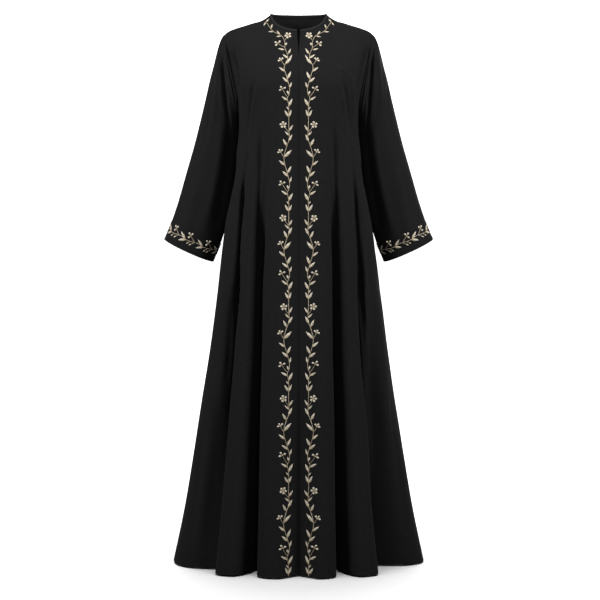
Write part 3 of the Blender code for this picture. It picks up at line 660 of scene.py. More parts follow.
def front(guides, folds):
    """A front for the wearer's left side: the panel, opened at the slit, with its edge rolled in."""
    grid = body_panel(guides, folds, -1)
    dip = CENTRE_DIP * ease((BUST_Z - grid[..., 2]) / (BUST_Z - HEM_Z))
    grid[..., 1] += dip * (1 - ease(grid[..., 0] / CENTRE_DIP_WIDTH))
    z = grid[:, :1, 2]
    open_share = np.clip((z - SLIT_FOOT_Z) / (NECK_FRONT[1] - SLIT_FOOT_Z), 0.0, 1.0)
    gap = FRONT_EDGE + (SLIT_HALF - FRONT_EDGE) * open_share**SLIT_CURVE
    across = (column_places(guides) / guides[1].columns).clip(0.0, 1.0)
    grid[..., 0] = np.maximum(grid[..., 0], gap + EDGE_TURN * across)
    grid[..., 1] += EDGE_ROLL * (1 - open_share) * (1 - across) ** 3
    return grid


def mirrored(grid):
    """The same points on the wearer's right side."""
    return grid * np.array([-1.0, 1.0, 1.0])


def join_halves(left, right):
    """One grid from the right side across the centre line to the left side."""
    return np.concatenate([mirrored(right)[:, :0:-1], left], axis=1)


# ---------------------------------------------------------------- sleeves


def sleeve(front_edge, back_edge):
    """The left sleeve: rings from the armhole through the sleeve sections to the cuff, and their angles.

    The first ring is the armhole's own points. It starts at the shoulder point and goes down the front edge
    and up the back edge. The second is the same ring, moved out over the cap. A section is a superellipse
    between its outer and inner edges, and the rows between are cubics through the sections.
    """
    top = (front_edge[0] + back_edge[0]) / 2
    foot = (front_edge[-1] + back_edge[-1]) / 2
    ring = np.concatenate([[top], front_edge[1:-1], [foot], back_edge[-2:0:-1]])
    half = len(front_edge)
    down, up = walked(ring[:half]), walked(np.concatenate([ring[half - 1 :], ring[:1]]))
    turn = np.pi * np.concatenate([down / down[-1], 1 + (up / up[-1])[1:-1]])
    high = (1 + np.cos(turn)) / 2
    cap = ring + np.stack([CAP_FOOT[0] + (CAP_TOP[0] - CAP_FOOT[0]) * high, 0 * high,
                           CAP_FOOT[1] + (CAP_TOP[1] - CAP_FOOT[1]) * high], axis=-1)
    rings, rows = [ring, cap], [0, 1]
    for s in SLEEVE_SECTIONS:
        across = np.sign(np.cos(turn)) * np.abs(np.cos(turn)) ** (2 / SLEEVE_ROUNDNESS)
        deep = np.sign(np.sin(turn)) * np.abs(np.sin(turn)) ** (2 / SLEEVE_ROUNDNESS)
        x = (s.outer_x + s.inner_x) / 2 + (s.outer_x - s.inner_x) / 2 * across
        z = (s.outer_z + s.inner_z) / 2 + (s.outer_z - s.inner_z) / 2 * across - s.drop * deep
        y = s.mid_y - s.half_depth * deep
        rings.append(np.stack([x, y, z], axis=-1))
        rows.append(rows[-1] + s.rows)
    wanted = np.linspace(0, rows[-1], rows[-1] * SLEEVE_ROW_STEPS + 1)
    return smooth(wanted, rows, np.stack(rings)), turn


# ---------------------------------------------------------------- creases, turnings and seams


def normals_of(grid, wrap=False):
    """Outward directions of a grid of points: the cross product of the steps down and across it."""
    if wrap:
        grid = np.concatenate([grid[:, -1:], grid, grid[:, :1]], axis=1)
    down, across = np.gradient(grid, axis=0), np.gradient(grid, axis=1)
    normal = unit(np.cross(down, across))
    middle = grid.mean(axis=1, keepdims=True) if wrap else np.array([0.0, 0.0, 0.0])
    away = (grid - middle) * np.array([1.0, 1.0, 0.0])
    normal = normal * np.sign((normal * away).sum())
    return normal[:, 1:-1] if wrap else normal


def crease_height(plan, creases):
    """How far the creases raise the cloth: each is a bell across its line, eased in and out at its ends.

    Its line is a cubic through its three points of the plan, walked in steps. A point of the cloth takes the
    most that any step gives it, by its distance from the step.
    """
    height = np.zeros(plan.shape[:-1])
    step = np.linspace(0, 1, CREASE_STEPS)
    fade = ease(step / CREASE_FADES[0]) * ease((1 - step) / CREASE_FADES[1])
    for *points, width, rise in creases:
        line = smooth(step, (0.0, 0.5, 1.0), np.reshape(points, (3, 2)))
        near = np.all((plan > line.min(axis=0) - 3 * width) & (plan < line.max(axis=0) + 3 * width), axis=-1)
        away = np.linalg.norm(plan[near][:, None] - line, axis=-1)
        height[near] += rise * (fade * np.exp(-((away / width) ** 2))).max(axis=-1)
    return height


def turned_hem(length_up, settings):
    """The faint step that a turned and blind-stitched hem leaves at its upper edge: a soft narrow ridge."""
    return settings.hem_step * np.exp(-(((length_up - settings.hem_turn) / HEM_RIDGE) ** 2))


def lengths_from(grid, axis, end):
    """The distance of every grid point along its own line, from the line's start (0) or its end (-1)."""
    steps = np.linalg.norm(np.diff(grid, axis=axis), axis=-1)
    pad = [(1, 0) if a == axis else (0, 0) for a in range(2)]
    lengths = np.cumsum(np.pad(steps, pad), axis=axis)
    return lengths if end == 0 else np.take(lengths, [-1], axis=axis) - lengths


def seam_groove(length):
    """How far cloth dips at a seam, by the distance from it: a narrow bell."""
    return np.exp(-((length / SEAM_WIDTH) ** 2))


def dressed_panel(grid, creases, settings, free_edge):
    """A half panel with its creases, hem and seams; its centre line is a free edge or is cut on the fold."""
    plan = np.abs(grid[..., [0, 2]]) * (1.0, -1.0)
    height = crease_height(plan, creases) * settings.crease_depth
    height += turned_hem(lengths_from(grid, 0, -1), settings)
    tuck = seam_groove(lengths_from(grid, 1, -1))
    top = seam_groove(lengths_from(grid, 0, 0))
    height -= settings.seam_dip * np.maximum(tuck, top)
    if free_edge:
        height[:, 0] -= settings.thickness / 3
    return grid + normals_of(grid) * height[..., None]


def dressed_sleeve(grid, turn, creases, settings):
    """A sleeve with its creases, cuff hem, the seam at its armhole and its allowance inside the body."""
    share = np.linspace(0, 1, len(grid))[:, None] + 0 * turn
    plan = np.stack([np.degrees(turn) + 0 * share, share], axis=-1) * SLEEVE_PLAN
    creases = [(*np.multiply(crease[:6], SLEEVE_PLAN * 3), *crease[6:]) for crease in creases]
    height = crease_height(plan, creases) * settings.crease_depth
    height += turned_hem(lengths_from(grid, 0, -1), settings)
    height -= settings.seam_dip * seam_groove(lengths_from(grid, 0, 0))
    dressed = grid + normals_of(grid, wrap=True) * height[..., None]
    return np.concatenate([dressed[:1] - [SEAM_LAP, 0.0, 0.0], dressed])


# ---------------------------------------------------------------- meshes


def strip(number):
    """Quads between the rows and columns of a grid of point numbers."""
    corners = number[:-1, :-1], number[1:, :-1], number[1:, 1:], number[:-1, 1:]
    return np.stack(corners, axis=-1).reshape(-1, 4)


def add_mesh(name, points, parts, material, uv_name, flat, places=None):
    """A smooth mesh object at the origin, with one material and one UV map.

    Its faces come in arrays of quads or triangles. The UV map is a list of flat places, one for each point,
    or else those that places numbers for every corner.
    """
    mesh = bpy.data.meshes.new(name)
    mesh.from_pydata(points.tolist(), [], [face for part in parts for face in part.tolist()])
    layer = mesh.uv_layers.new(name=uv_name)
    corners = np.concatenate([part.ravel() for part in parts]) if places is None else places
    layer.data.foreach_set("uv", flat[corners].astype(np.float32).ravel())
    mesh.shade_smooth()
    mesh.set_sharp_from_angle(angle=SHARP)
    mesh.materials.append(material)
    face_out(mesh)
    piece = bpy.data.objects.new(name, mesh)
    bpy.context.scene.collection.objects.link(piece)
    return piece


def face_out(mesh):
    """Turns a closed mesh's faces to point outwards, which they do where the volume inside is positive."""
    copy = bmesh.new()
    copy.from_mesh(mesh)
    closed = not any(edge.is_boundary for edge in copy.edges)
    if closed and copy.calc_volume(signed=True) < 0:
        mesh.flip_normals()
    copy.free()


def shell(name, outer, thickness, material, wrap=False):
    """A closed sheet of cloth: a grid, the same grid one thickness further in, and the edges between them.

    Its UV map is in metres along the cloth: the distance across from the first line, and down from the top.
    """
    inner = outer - normals_of(outer, wrap) * thickness
    number = np.arange(outer[..., 0].size).reshape(outer.shape[:2])
    spread = outer
    if wrap:
        number, spread = (np.concatenate([grid, grid[:, :1]], axis=1) for grid in (number, outer))
    place = np.arange(spread[..., 0].size).reshape(spread.shape[:2])
    under = number + outer[..., 0].size
    parts = [(number, place), (under[:, ::-1], place[:, ::-1]),
             (np.stack([under[0], number[0]]), place[[0, 0]]),
             (np.stack([number[-1], under[-1]]), place[[-1, -1]])]
    if not wrap:
        parts += [(np.stack([under[:, 0], number[:, 0]], axis=1), place[:, [0, 0]]),
                  (np.stack([number[:, -1], under[:, -1]], axis=1), place[:, [-1, -1]])]
    faces, corners = (np.concatenate([strip(part[i]) for part in parts]) for i in (0, 1))
    flat = np.stack([lengths_from(spread, 1, 0), lengths_from(spread, 0, 0)], axis=-1).reshape(-1, 2)
    points = np.concatenate([outer.reshape(-1, 3), inner.reshape(-1, 3)])
    return add_mesh(name, points, [faces], material, "cloth", flat, corners.ravel())


def closed_rings(count, length, sides, start=0):
    """Faces of many tubes at once, each of rings of points with a pole point at either end.

    The points of one tube are numbered first pole, rings, last pole. The rings are an array of tube, ring and
    side; the faces are quads between the rings and two fans of triangles.
    """
    first = start + np.arange(count)[:, None] * (length * sides + 2)
    ring = first[..., None] + 1 + np.arange(length * sides).reshape(length, sides)
    ring = np.concatenate([ring, ring[..., :1]], axis=-1)
    quads = np.stack([ring[:, :-1, :-1], ring[:, 1:, :-1], ring[:, 1:, 1:], ring[:, :-1, 1:]], axis=-1)
    pole = first + np.zeros((1, sides), int)
    head = np.stack([pole, ring[:, 0, :-1], ring[:, 0, 1:]], axis=-1)
    foot = np.stack([pole + length * sides + 1, ring[:, -1, 1:], ring[:, -1, :-1]], axis=-1)
    return [faces.reshape(-1, faces.shape[-1]) for faces in (quads, head, foot)]


# ---------------------------------------------------------------- embroidery


# A cloth surface to work on: two fields that place a stitch, its points and its outward directions, as grids.
Ground = namedtuple("Ground", "fields points normals")


def sample(grid, row, column):
    """Bilinear values of a grid at fractional rows and columns, and their change per row and per column."""
    i = np.clip(row.astype(int), 0, grid.shape[0] - 2)
    j = np.clip(column.astype(int), 0, grid.shape[1] - 2)
    r, c = (row - i)[..., None], (column - j)[..., None]
    top = grid[i, j] * (1 - c) + grid[i, j + 1] * c
    foot = grid[i + 1, j] * (1 - c) + grid[i + 1, j + 1] * c
    left = grid[i, j] * (1 - r) + grid[i + 1, j] * r
    right = grid[i, j + 1] * (1 - r) + grid[i + 1, j + 1] * r
    return top * (1 - r) + foot * r, foot - top, right - left


def lie_on(ground, place, lift):
    """Points at the given places on the cloth, raised by lift along its outward direction.

    The row and column come from Newton's method on the two fields, from a start where they first pass the
    place, so the same work suits every cloth that has two fields.
    """
    wanted, lift = place.reshape(-1, 2), lift.reshape(-1)
    rows, columns = ground.fields.shape[:2]
    middle = ground.fields[::-1, columns // 4, 1]
    row = np.interp(wanted[:, 1], middle, np.arange(rows)[::-1])
    nearest = ground.fields[row.round().astype(int), :, 0]
    column = (nearest < wanted[:, :1]).sum(axis=1) - 0.5
    for _ in range(NEWTON_ROUNDS):
        value, by_row, by_column = sample(ground.fields, row, column)
        off = wanted - value
        area = by_row[:, 0] * by_column[:, 1] - by_row[:, 1] * by_column[:, 0]
        area = np.where(np.abs(area) < 1e-12, 1e-12, area)
        row = row + (off[:, 0] * by_column[:, 1] - off[:, 1] * by_column[:, 0]) / area
        column = column + (by_row[:, 0] * off[:, 1] - by_row[:, 1] * off[:, 0]) / area
        row, column = row.clip(0, rows - 1), column.clip(0, columns - 1)
    point = sample(ground.points, row, column)[0]
    normal = unit(sample(ground.normals, row, column)[0])
    return (point + normal * lift[:, None]).reshape(place.shape[:-1] + (3,))


# Forms that are filled with satin stitch: the powers of their outline at foot and tip, and their height.
Form = namedtuple("Form", "foot tip height groove")
FORMS = {
    "leaf": Form(0.88, 1.18, 0.0013, GROOVE),
    "petal": Form(0.95, 0.42, 0.0014, GROOVE),
    "bead": Form(0.62, 0.50, 0.0018, 0.0),
    "knot": Form(0.50, 0.50, 0.0022, 0.0),
}

# One filled shape of the plan: its form, root, direction, length and width.
Shape = namedtuple("Shape", "form root direction length width")


def filled(ground, shapes):
    """Padded shapes laid on the cloth: points, UV places in metres on the shape, and how far up it each is.

    Half the width at a share u of the length goes as u to one power times (1 - u) to another. Round each ring
    the outside is a low arch with a groove along its middle, and the inside lies just under the cloth.
    """
    foot, tip, height, groove = (np.array([getattr(FORMS[s.form], n) for s in shapes])[:, None, None]
                                 for n in ("foot", "tip", "height", "groove"))
    length, width = (np.array([getattr(s, n) for s in shapes])[:, None, None] for n in ("length", "width"))
    root, ahead = (np.array([getattr(s, n) for s in shapes])[:, None, None, :] for n in ("root", "direction"))
    aside = np.stack([-ahead[..., 1], ahead[..., 0]], axis=-1)
    u = ((1 - np.cos(np.pi * np.arange(1, RINGS + 1) / (RINGS + 1))) / 2)[None, :, None]
    best = foot / (foot + tip)
    half = u**foot * (1 - u) ** tip / (best**foot * (1 - best) ** tip)
    angle = 2 * np.pi * np.arange(SIDES) / SIDES
    across = half * width / 2 * np.cos(angle)
    arch = np.sin(angle).clip(0) * (1 - groove * (1 - np.abs(np.cos(angle))) ** 2)
    lift = height * np.sqrt(half) * arch - SUNK * (np.sin(angle) < 0.01)
    along = u * length + 0 * across
    place = root + along[..., None] * ahead + across[..., None] * aside
    ends = root + np.array([0.0, 1.0])[None, :, None, None] * length[..., None] * ahead
    points = lie_on(ground, place, lift).reshape(len(shapes), -1, 3)
    poles = lie_on(ground, ends, np.zeros(ends.shape[:-1]))[:, :, 0]
    flat = np.stack([along, np.abs(across)], axis=-1).reshape(len(shapes), -1, 2)
    tips = np.stack([length[:, 0], 0 * length[:, 0]], axis=-1)
    flat = np.concatenate([0 * tips, flat, tips], axis=1)
    return np.concatenate([poles[:, :1], points, poles[:, 1:]], axis=1), flat, flat[..., 0] / length[:, 0]


def cords(ground, lines, width):
    """Couched stems laid on the cloth along lines of the plan: points, UV places in metres and shares.

    Each line is walked in even steps, and each ring is half an ellipse above the cloth and a flat below it.
    All the lines of one call have the same number of points.
    """
    lines = np.asarray(lines, float)
    ahead = unit(np.gradient(lines, axis=1))
    aside = np.stack([-ahead[..., 1], ahead[..., 0]], axis=-1)[:, :, None]
    angle = 2 * np.pi * np.arange(STEM_SIDES) / STEM_SIDES
    across = np.cos(angle) * width / 2
    lift = np.sin(angle).clip(0) * STEM_HEIGHT - SUNK * (np.sin(angle) < -0.01)
    lift = lift + np.zeros(lines.shape[:2] + (1,))
    place = lines[:, :, None] + across[:, None] * aside
    points = lie_on(ground, place, lift).reshape(len(lines), -1, 3)
    poles = lie_on(ground, lines[:, [0, -1]], np.full((len(lines), 2), STEM_HEIGHT / 2))
    walk = np.stack([walked(line) for line in lines])[..., None]
    around = np.broadcast_to(np.abs(across), lines.shape[:2] + (STEM_SIDES,))
    flat = np.stack([walk + 0 * around, around], axis=-1).reshape(len(lines), -1, 2)
    ends = np.concatenate([walk[:, [0, -1]], 0 * walk[:, [0, -1]]], axis=-1)
    flat = np.concatenate([ends[:, :1], flat, ends[:, 1:]], axis=1)
    return np.concatenate([poles[:, :1], points, poles[:, 1:]], axis=1), flat, np.full(flat.shape[:2], 0.5)


def work(name, parts, material, mirror):
    """One embroidered piece from the filled shapes and stems given, each with its points, flat and shares."""
    faces, start = [], 0
    for (points, _, _), (length, sides) in parts:
        faces += closed_rings(len(points), length, sides, start)
        start += points.shape[0] * points.shape[1]
    points, flat, share = (np.concatenate([part[0][i].reshape(-1, size) for part in parts])
                           for i, size in enumerate((3, 2, 1)))
    piece = add_mesh(name, mirrored(points) if mirror else points, faces, material, "thread", flat)
    # the share along each shape, which the thread's material turns into painted shade at the root and lit
    # colour at the tip
    layer = piece.data.attributes.new("share", "FLOAT", "POINT")
    layer.data.foreach_set("value", share.astype(np.float32).ravel())
    return piece


class Plan:
    """The shapes and stems of one band, as they grow."""

    def __init__(self, seed):
        """Starts an empty band, with small random differences that come from the seed."""
        self.shapes, self.knots, self.stalks = [], [], []
        self.chance = np.random.default_rng(seed)

    def grow(self, kind, root, tip):
        """Adds a leaf, leaflet, bud, flower or sprig from a root on the stem to its tip, or to its middle."""
        root, tip = np.array(root), np.array(tip)
        step = tip - root
        turn, stretch = self.chance.uniform(-1, 1, 2) * (np.radians(LEAF_SPREAD[0]), LEAF_SPREAD[1])
        step = turned(step, turn) * (1 + stretch)
        length = np.linalg.norm(step)
        ahead = step / length
        if kind == "leaf":
            self.shapes.append(Shape("leaf", root, ahead, length, LEAF_WIDTH * length))
        elif kind == "leaflet":
            foot = root + step * LEAFLET_STALK
            self.stalk(root, foot)
            self.shapes.append(Shape("leaf", foot, ahead, length * (1 - LEAFLET_STALK), LEAFLET_WIDTH))
        elif kind == "bud":
            self.shapes.append(Shape("bead", root, ahead, length, BUD_WIDTH))
        else:
            self.stalk(root, root + step)
            if kind == "flower":
                self.flower(root + step, self.chance.uniform(0, 72))
            elif kind == "blossom":
                self.blossom(root + step, ahead)
            else:
                self.sprig(root + step, ahead)

    def stalk(self, root, tip):
        """A slightly bowed stalk between two points, as a short line of points."""
        t = np.linspace(0, 1, STALK_POINTS)[:, None]
        across = np.array([-(tip - root)[1], (tip - root)[0]])
        bow = STALK_BOW if across[0] > 0 else -STALK_BOW
        self.stalks.append(root + (tip - root) * t + bow * across * t * (1 - t))

    def flower(self, middle, first):
        """Petals in a round, with a knot in the middle."""
        up = np.array([0.0, 1.0])
        for i in range(PETALS):
            ahead = turned(up, np.radians(first + 360 / PETALS * i))
            self.shapes.append(Shape("petal", middle + ahead * PETAL_START, ahead, PETAL_LENGTH, PETAL_WIDTH))
        self.knots.append(Shape("knot", middle - up * KNOT / 2, up, KNOT, KNOT))

    def blossom(self, foot, ahead):
        """A half-open flower seen from the side: petals fanned out from a knot at the end of a stalk."""
        self.shapes.append(Shape("knot", foot - ahead * KNOT / 2, ahead, KNOT, KNOT))
        for angle in BLOSSOM_ANGLES:
            toward = turned(ahead, np.radians(angle))
            start = foot + toward * BLOSSOM_START
            self.shapes.append(Shape("petal", start, toward, PETAL_LENGTH, BLOSSOM_WIDTH))

    def sprig(self, fork, ahead):
        """Three round buds on short stalks from a knot at the end of a stalk."""
        self.shapes.append(Shape("knot", fork - ahead * KNOT / 2, ahead, KNOT, KNOT))
        for angle in BEAD_ANGLES:
            toward = turned(ahead, np.radians(angle))
            self.shapes.append(Shape("bead", fork + toward * BEAD_START, toward, BEAD_LENGTH, BEAD_WIDTH))
            self.stalk(fork, fork + toward * (BEAD_START + BEAD_LAP))


def turned(vector, angle):
    """A flat vector turned by an angle, clockwise as seen with the plan's first axis to the right."""
    c, s = np.cos(angle), np.sin(angle)
    return np.array([vector[0] * c + vector[1] * s, vector[1] * c - vector[0] * s])


def even_line(points):
    """A smooth line through points, walked in even steps of a stem."""
    walk = walked(points)
    return smooth(np.linspace(0, 1, int(walk[-1] / STEM_STEP) + 1), walk / walk[-1], points)


def grow_from(plan, line, growth, at, ahead):
    """Adds what the chart has at a place on a stem, turned from the way ahead."""
    root = line[int(np.argmin(np.abs(line[:, at[0]] - at[1])))]
    step = turned(np.array(ahead), np.radians(growth.angle) * growth.side) * growth.length
    plan.grow(growth.kind, root, root + step)


def front_plan(seed):
    """The whole band of one front: the neck's branch, and the repeats of the vine down to the hem."""
    plan = Plan(seed)
    repeats = list(zip(VINE_STARTS, np.diff(VINE_STARTS)))
    top = VINE_STARTS[0] + VINE_FIRST_SHARE * (VINE_STARTS[1] - VINE_STARTS[0])
    stem = [(distance, start + share * rise) for start, rise in repeats for share, distance in STEM_CHART]
    line = even_line([*NECK_STEM[::-1], *(point for point in stem if VINE_FOOT_Z < point[1] < top),
                      (STEM_CHART[0][1], VINE_FOOT_Z)])
    for start, rise in repeats:
        for growth in VINE_CHART:
            z = start + growth.share * rise
            if z < top:
                grow_from(plan, line, growth, (1, max(z, VINE_FOOT_Z)), (0.0, 1.0))
    for branch in NECK_CHART:
        plan.grow(branch.kind, branch.root, branch.tip)
    return plan, line


def cuff_plan(seed, circumference):
    """The band round a cuff: so many repeats of its chart, joined into a ring."""
    plan = Plan(seed)
    repeat = circumference / CUFF_REPEATS
    start = circumference / 4 + CUFF_PHASE
    line = even_line([(start + repeat * (k + share), up)
                      for k in range(-1, CUFF_REPEATS + 1) for share, up in CUFF_STEM])
    for k in range(CUFF_REPEATS):
        for growth in CUFF_CHART:
            grow_from(plan, line, growth, (0, start + repeat * (k + growth.share)), (-1.0, 0.0))
    keep = (line[:, 0] >= start) & (line[:, 0] <= start + circumference)
    return plan, line[keep]


def front_ground(grid):
    """A front to work on, placed by the distance from the centre line and the height."""
    return Ground(np.stack([np.abs(grid[..., 0]), grid[..., 2]], axis=-1), grid, normals_of(grid))


def cuff_ground(grid):
    """The end of a sleeve to work on, placed by the distance round it and the distance up from its hem.

    The distance round is that of the hem, from the outer edge towards the front, twice round so that no
    stitch falls across the end.
    """
    band, normals = grid[-CUFF_ROWS:], normals_of(grid, wrap=True)[-CUFF_ROWS:]
    walk = walked(np.concatenate([band[-1], band[-1, :1]]))
    up, points, directions = (np.concatenate([half, half], axis=1)
                              for half in (lengths_from(band, 0, -1), band, normals))
    around = np.concatenate([walk[:-1], walk[:-1] + walk[-1]]) + 0 * up
    return Ground(np.stack([around, up], axis=-1), points, directions), walk[-1]


def embroider(name, ground, plan, line, materials, mirror):
    """The two pieces of one band: what is filled in satin stitch, and the stems with the flowers' knots."""
    filling = [(filled(ground, plan.shapes), (RINGS, SIDES))]
    stems = [(cords(ground, [line], STEM_WIDTH), (len(line), STEM_SIDES)),
             (cords(ground, plan.stalks, STALK_WIDTH), (STALK_POINTS, STEM_SIDES))]
    if plan.knots:
        stems.append((filled(ground, plan.knots), (RINGS, SIDES)))
    leaves = work(f"{name}_leaves", filling, materials[0], mirror)
    stalks = work(f"{name}_stems", stems, materials[1], mirror)
    for piece, slot in ((leaves, "gold_thread"), (stalks, "tan_thread")):
        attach(piece, ROOT)


# ---------------------------------------------------------------- materials


def linear(code):
    """The linear colour of an sRGB hex code."""
    value = np.array([int(code[i : i + 2], 16) for i in (1, 3, 5)]) / 255
    return tuple(np.where(value <= 0.04045, value / 12.92, ((value + 0.055) / 1.055) ** 2.4).tolist())


def rgba(colour, share=1.0):
    """A share of a colour's light, as a node takes it."""
    return (*(share * channel for channel in colour), 1.0)


def wave_scale(pitch):
    """The scale at which a wave texture has its bands so many metres apart."""
    return 1 / pitch / 20


def plug(tree, node, sockets):
    """Sets sockets of a node: each takes a value, or the output that it is linked from."""
    for socket, value in sockets.items():
        if isinstance(value, bpy.types.NodeSocket):
            tree.links.new(value, node.inputs[socket])
        else:
            node.inputs[socket].default_value = value


def add(tree, kind, sockets, **settings):
    """Adds a node with its settings and its sockets, and gives its outputs."""
    node = tree.nodes.new(kind)
    for name, value in settings.items():
        setattr(node, name, value)
    plug(tree, node, sockets)
    return node.outputs


def new_material(name):
    """A material with its node tree and shader, or without them where it has already been made."""
    material = bpy.data.materials.get(name)
    if material:
        return material, None, None
    material = bpy.data.materials.new(name)
    material.use_nodes = True
    tree = material.node_tree
    return material, tree, tree.nodes["Principled BSDF"]


def woven_polyester_crepe(settings):
    """Crepe, woven from hard-twisted polyester yarn: the yarn's pull leaves a fine pebble that kills gloss.

    The pebble is 0.6 mm in the cloth. It is drawn at 2.4 mm, the least that shows, with a slower 11 mm drift
    of the surface. The same drift sets the soft uneven tone of the cloth: a random tone, and also painted
    shade where the drift lies low and painted light where it rises.
    """
    material, tree, shader = new_material("woven polyester crepe")
    if tree is None:
        return material
    place = add(tree, "ShaderNodeUVMap", {}, uv_map="cloth")["UV"]
    pebble = add(tree, "ShaderNodeTexNoise", {"Vector": place, "Scale": 1 / 0.0024, "Detail": 2.0,
                                              "Roughness": 0.55}, noise_dimensions="2D")["Fac"]
    drift = add(tree, "ShaderNodeTexNoise", {"Vector": place, "Scale": 1 / 0.011, "Detail": 3.0,
                                             "Roughness": 0.5}, noise_dimensions="2D")["Fac"]
    # random tone, and painted shade and light: darker where the drift lies low, lighter where it rises
    tone = add(tree, "ShaderNodeMix", {"Factor": drift, "A": rgba(settings.crepe_colour, 0.72),
                                       "B": rgba(settings.crepe_colour, 1.22)}, data_type="RGBA")["Result"]
    slow = add(tree, "ShaderNodeBump", {"Strength": 0.35, "Distance": 0.0012, "Height": drift})["Normal"]
    fine = add(tree, "ShaderNodeBump", {"Strength": 0.5, "Distance": 0.0004, "Height": pebble,
                                        "Normal": slow})["Normal"]
    plug(tree, shader, {"Base Color": tone, "Normal": fine, "Roughness": 0.88, "Specular IOR Level": 0.13,
                        "Sheen Weight": 0.01, "Sheen Roughness": 0.5})
    return material


def folded_bias_crepe(settings):
    """The same crepe cut on the bias, folded and pressed: smoother, so its rounded edge catches more light.

    The weave's slant is 0.6 mm in the cloth and is drawn at 2 mm.
    """
    material, tree, shader = new_material("folded bias crepe")
    if tree is None:
        return material
    place = add(tree, "ShaderNodeUVMap", {}, uv_map="cloth")["UV"]
    slant = add(tree, "ShaderNodeTexWave", {"Vector": place, "Scale": wave_scale(0.002), "Distortion": 1.5},
                wave_type="BANDS", bands_direction="DIAGONAL")["Fac"]
    tone = add(tree, "ShaderNodeMix", {"Factor": slant, "A": rgba(settings.binding_colour, 0.85),
                                       "B": rgba(settings.binding_colour)}, data_type="RGBA")["Result"]
    bump = add(tree, "ShaderNodeBump", {"Strength": 0.25, "Distance": 0.0003, "Height": slant})["Normal"]
    plug(tree, shader, {"Base Color": tone, "Normal": bump, "Roughness": 0.72, "Specular IOR Level": 0.22,
                        "Sheen Weight": 0.05})
    return material


def satin_stitched_rayon(name, light, painted_shade, settings):
    """Rayon thread laid side by side in satin stitch: glossy along the ridges, with painted shade between the
    threads.

    The threads slant out from the shape's middle. They lie 0.4 mm apart in the cloth and are drawn at 1.3 mm.
    The colour is painted light and shade: the shaded colour at a shape's root goes over to the lit colour at
    its tip.
    """
    material, tree, shader = new_material(name)
    if tree is None:
        return material
    place = add(tree, "ShaderNodeUVMap", {}, uv_map="thread")["UV"]
    slanted = add(tree, "ShaderNodeMapping", {"Vector": place,
                                              "Rotation": (0.0, 0.0, THREAD_SLANT)})["Vector"]
    threads = add(tree, "ShaderNodeTexWave", {"Vector": slanted, "Scale": wave_scale(settings.thread_pitch),
                                              "Distortion": 0.6, "Detail": 1.0, "Detail Scale": 2.0},
                  wave_type="BANDS", bands_direction="X")["Fac"]
    # painted light and shade: by the share along a shape, from the shaded colour at its root to the lit
    # colour at its tip
    share = add(tree, "ShaderNodeAttribute", {}, attribute_name="share")["Fac"]
    up = add(tree, "ShaderNodeMapRange", {"Value": share, "From Max": 0.55})["Result"]
    tone = add(tree, "ShaderNodeMix", {"Factor": up, "A": rgba(painted_shade), "B": rgba(light)},
               data_type="RGBA")["Result"]
    # painted shade: the colour is darkened in the grooves between the threads
    between = add(tree, "ShaderNodeMapRange", {"Value": threads, "To Min": 0.72})["Result"]
    lit = add(tree, "ShaderNodeMix", {"Factor": 1.0, "A": tone, "B": between}, data_type="RGBA",
              blend_type="MULTIPLY")["Result"]
    bump = add(tree, "ShaderNodeBump", {"Strength": 0.6, "Distance": 0.0004, "Height": threads})["Normal"]
    plug(tree, shader, {"Base Color": lit, "Normal": bump, "Roughness": 0.42, "Specular IOR Level": 0.5,
                        "Sheen Weight": 0.2})
    return material


def threads(settings):
    """The two threads of the embroidery, each with a lit colour and a colour of painted shade."""
    return (satin_stitched_rayon("satin-stitched rayon, gold", settings.gold, settings.gold_painted_shade, settings),
            satin_stitched_rayon("couched rayon cord, tan", settings.tan, settings.tan_painted_shade, settings))


def painted_studio_floor(settings):
    """Matt white paint rolled on a seamless studio floor: even, with a faint drift from the roller.

    Light that it throws back on the cloth is held to a share, as black screens do beside a real set.
    """
    material, tree, shader = new_material("rolled white floor paint")
    if tree is None:
        return material
    place = add(tree, "ShaderNodeTexCoord", {})["Object"]
    drift = add(tree, "ShaderNodeTexNoise", {"Vector": place, "Scale": 1.4, "Detail": 2.0})["Fac"]
    tone = add(tree, "ShaderNodeMix", {"Factor": drift, "A": rgba(settings.floor_colour, 0.985),
                                       "B": rgba(settings.floor_colour)}, data_type="RGBA")["Result"]
    seen = add(tree, "ShaderNodeLightPath", {})["Is Camera Ray"]
    screened = add(tree, "ShaderNodeMix", {"Factor": seen, "A": rgba((settings.bounce,) * 3), "B": tone},
                   data_type="RGBA")["Result"]
    plug(tree, shader, {"Base Color": screened, "Roughness": 0.85, "Specular IOR Level": 0.2})
    return material


# ---------------------------------------------------------------- settings


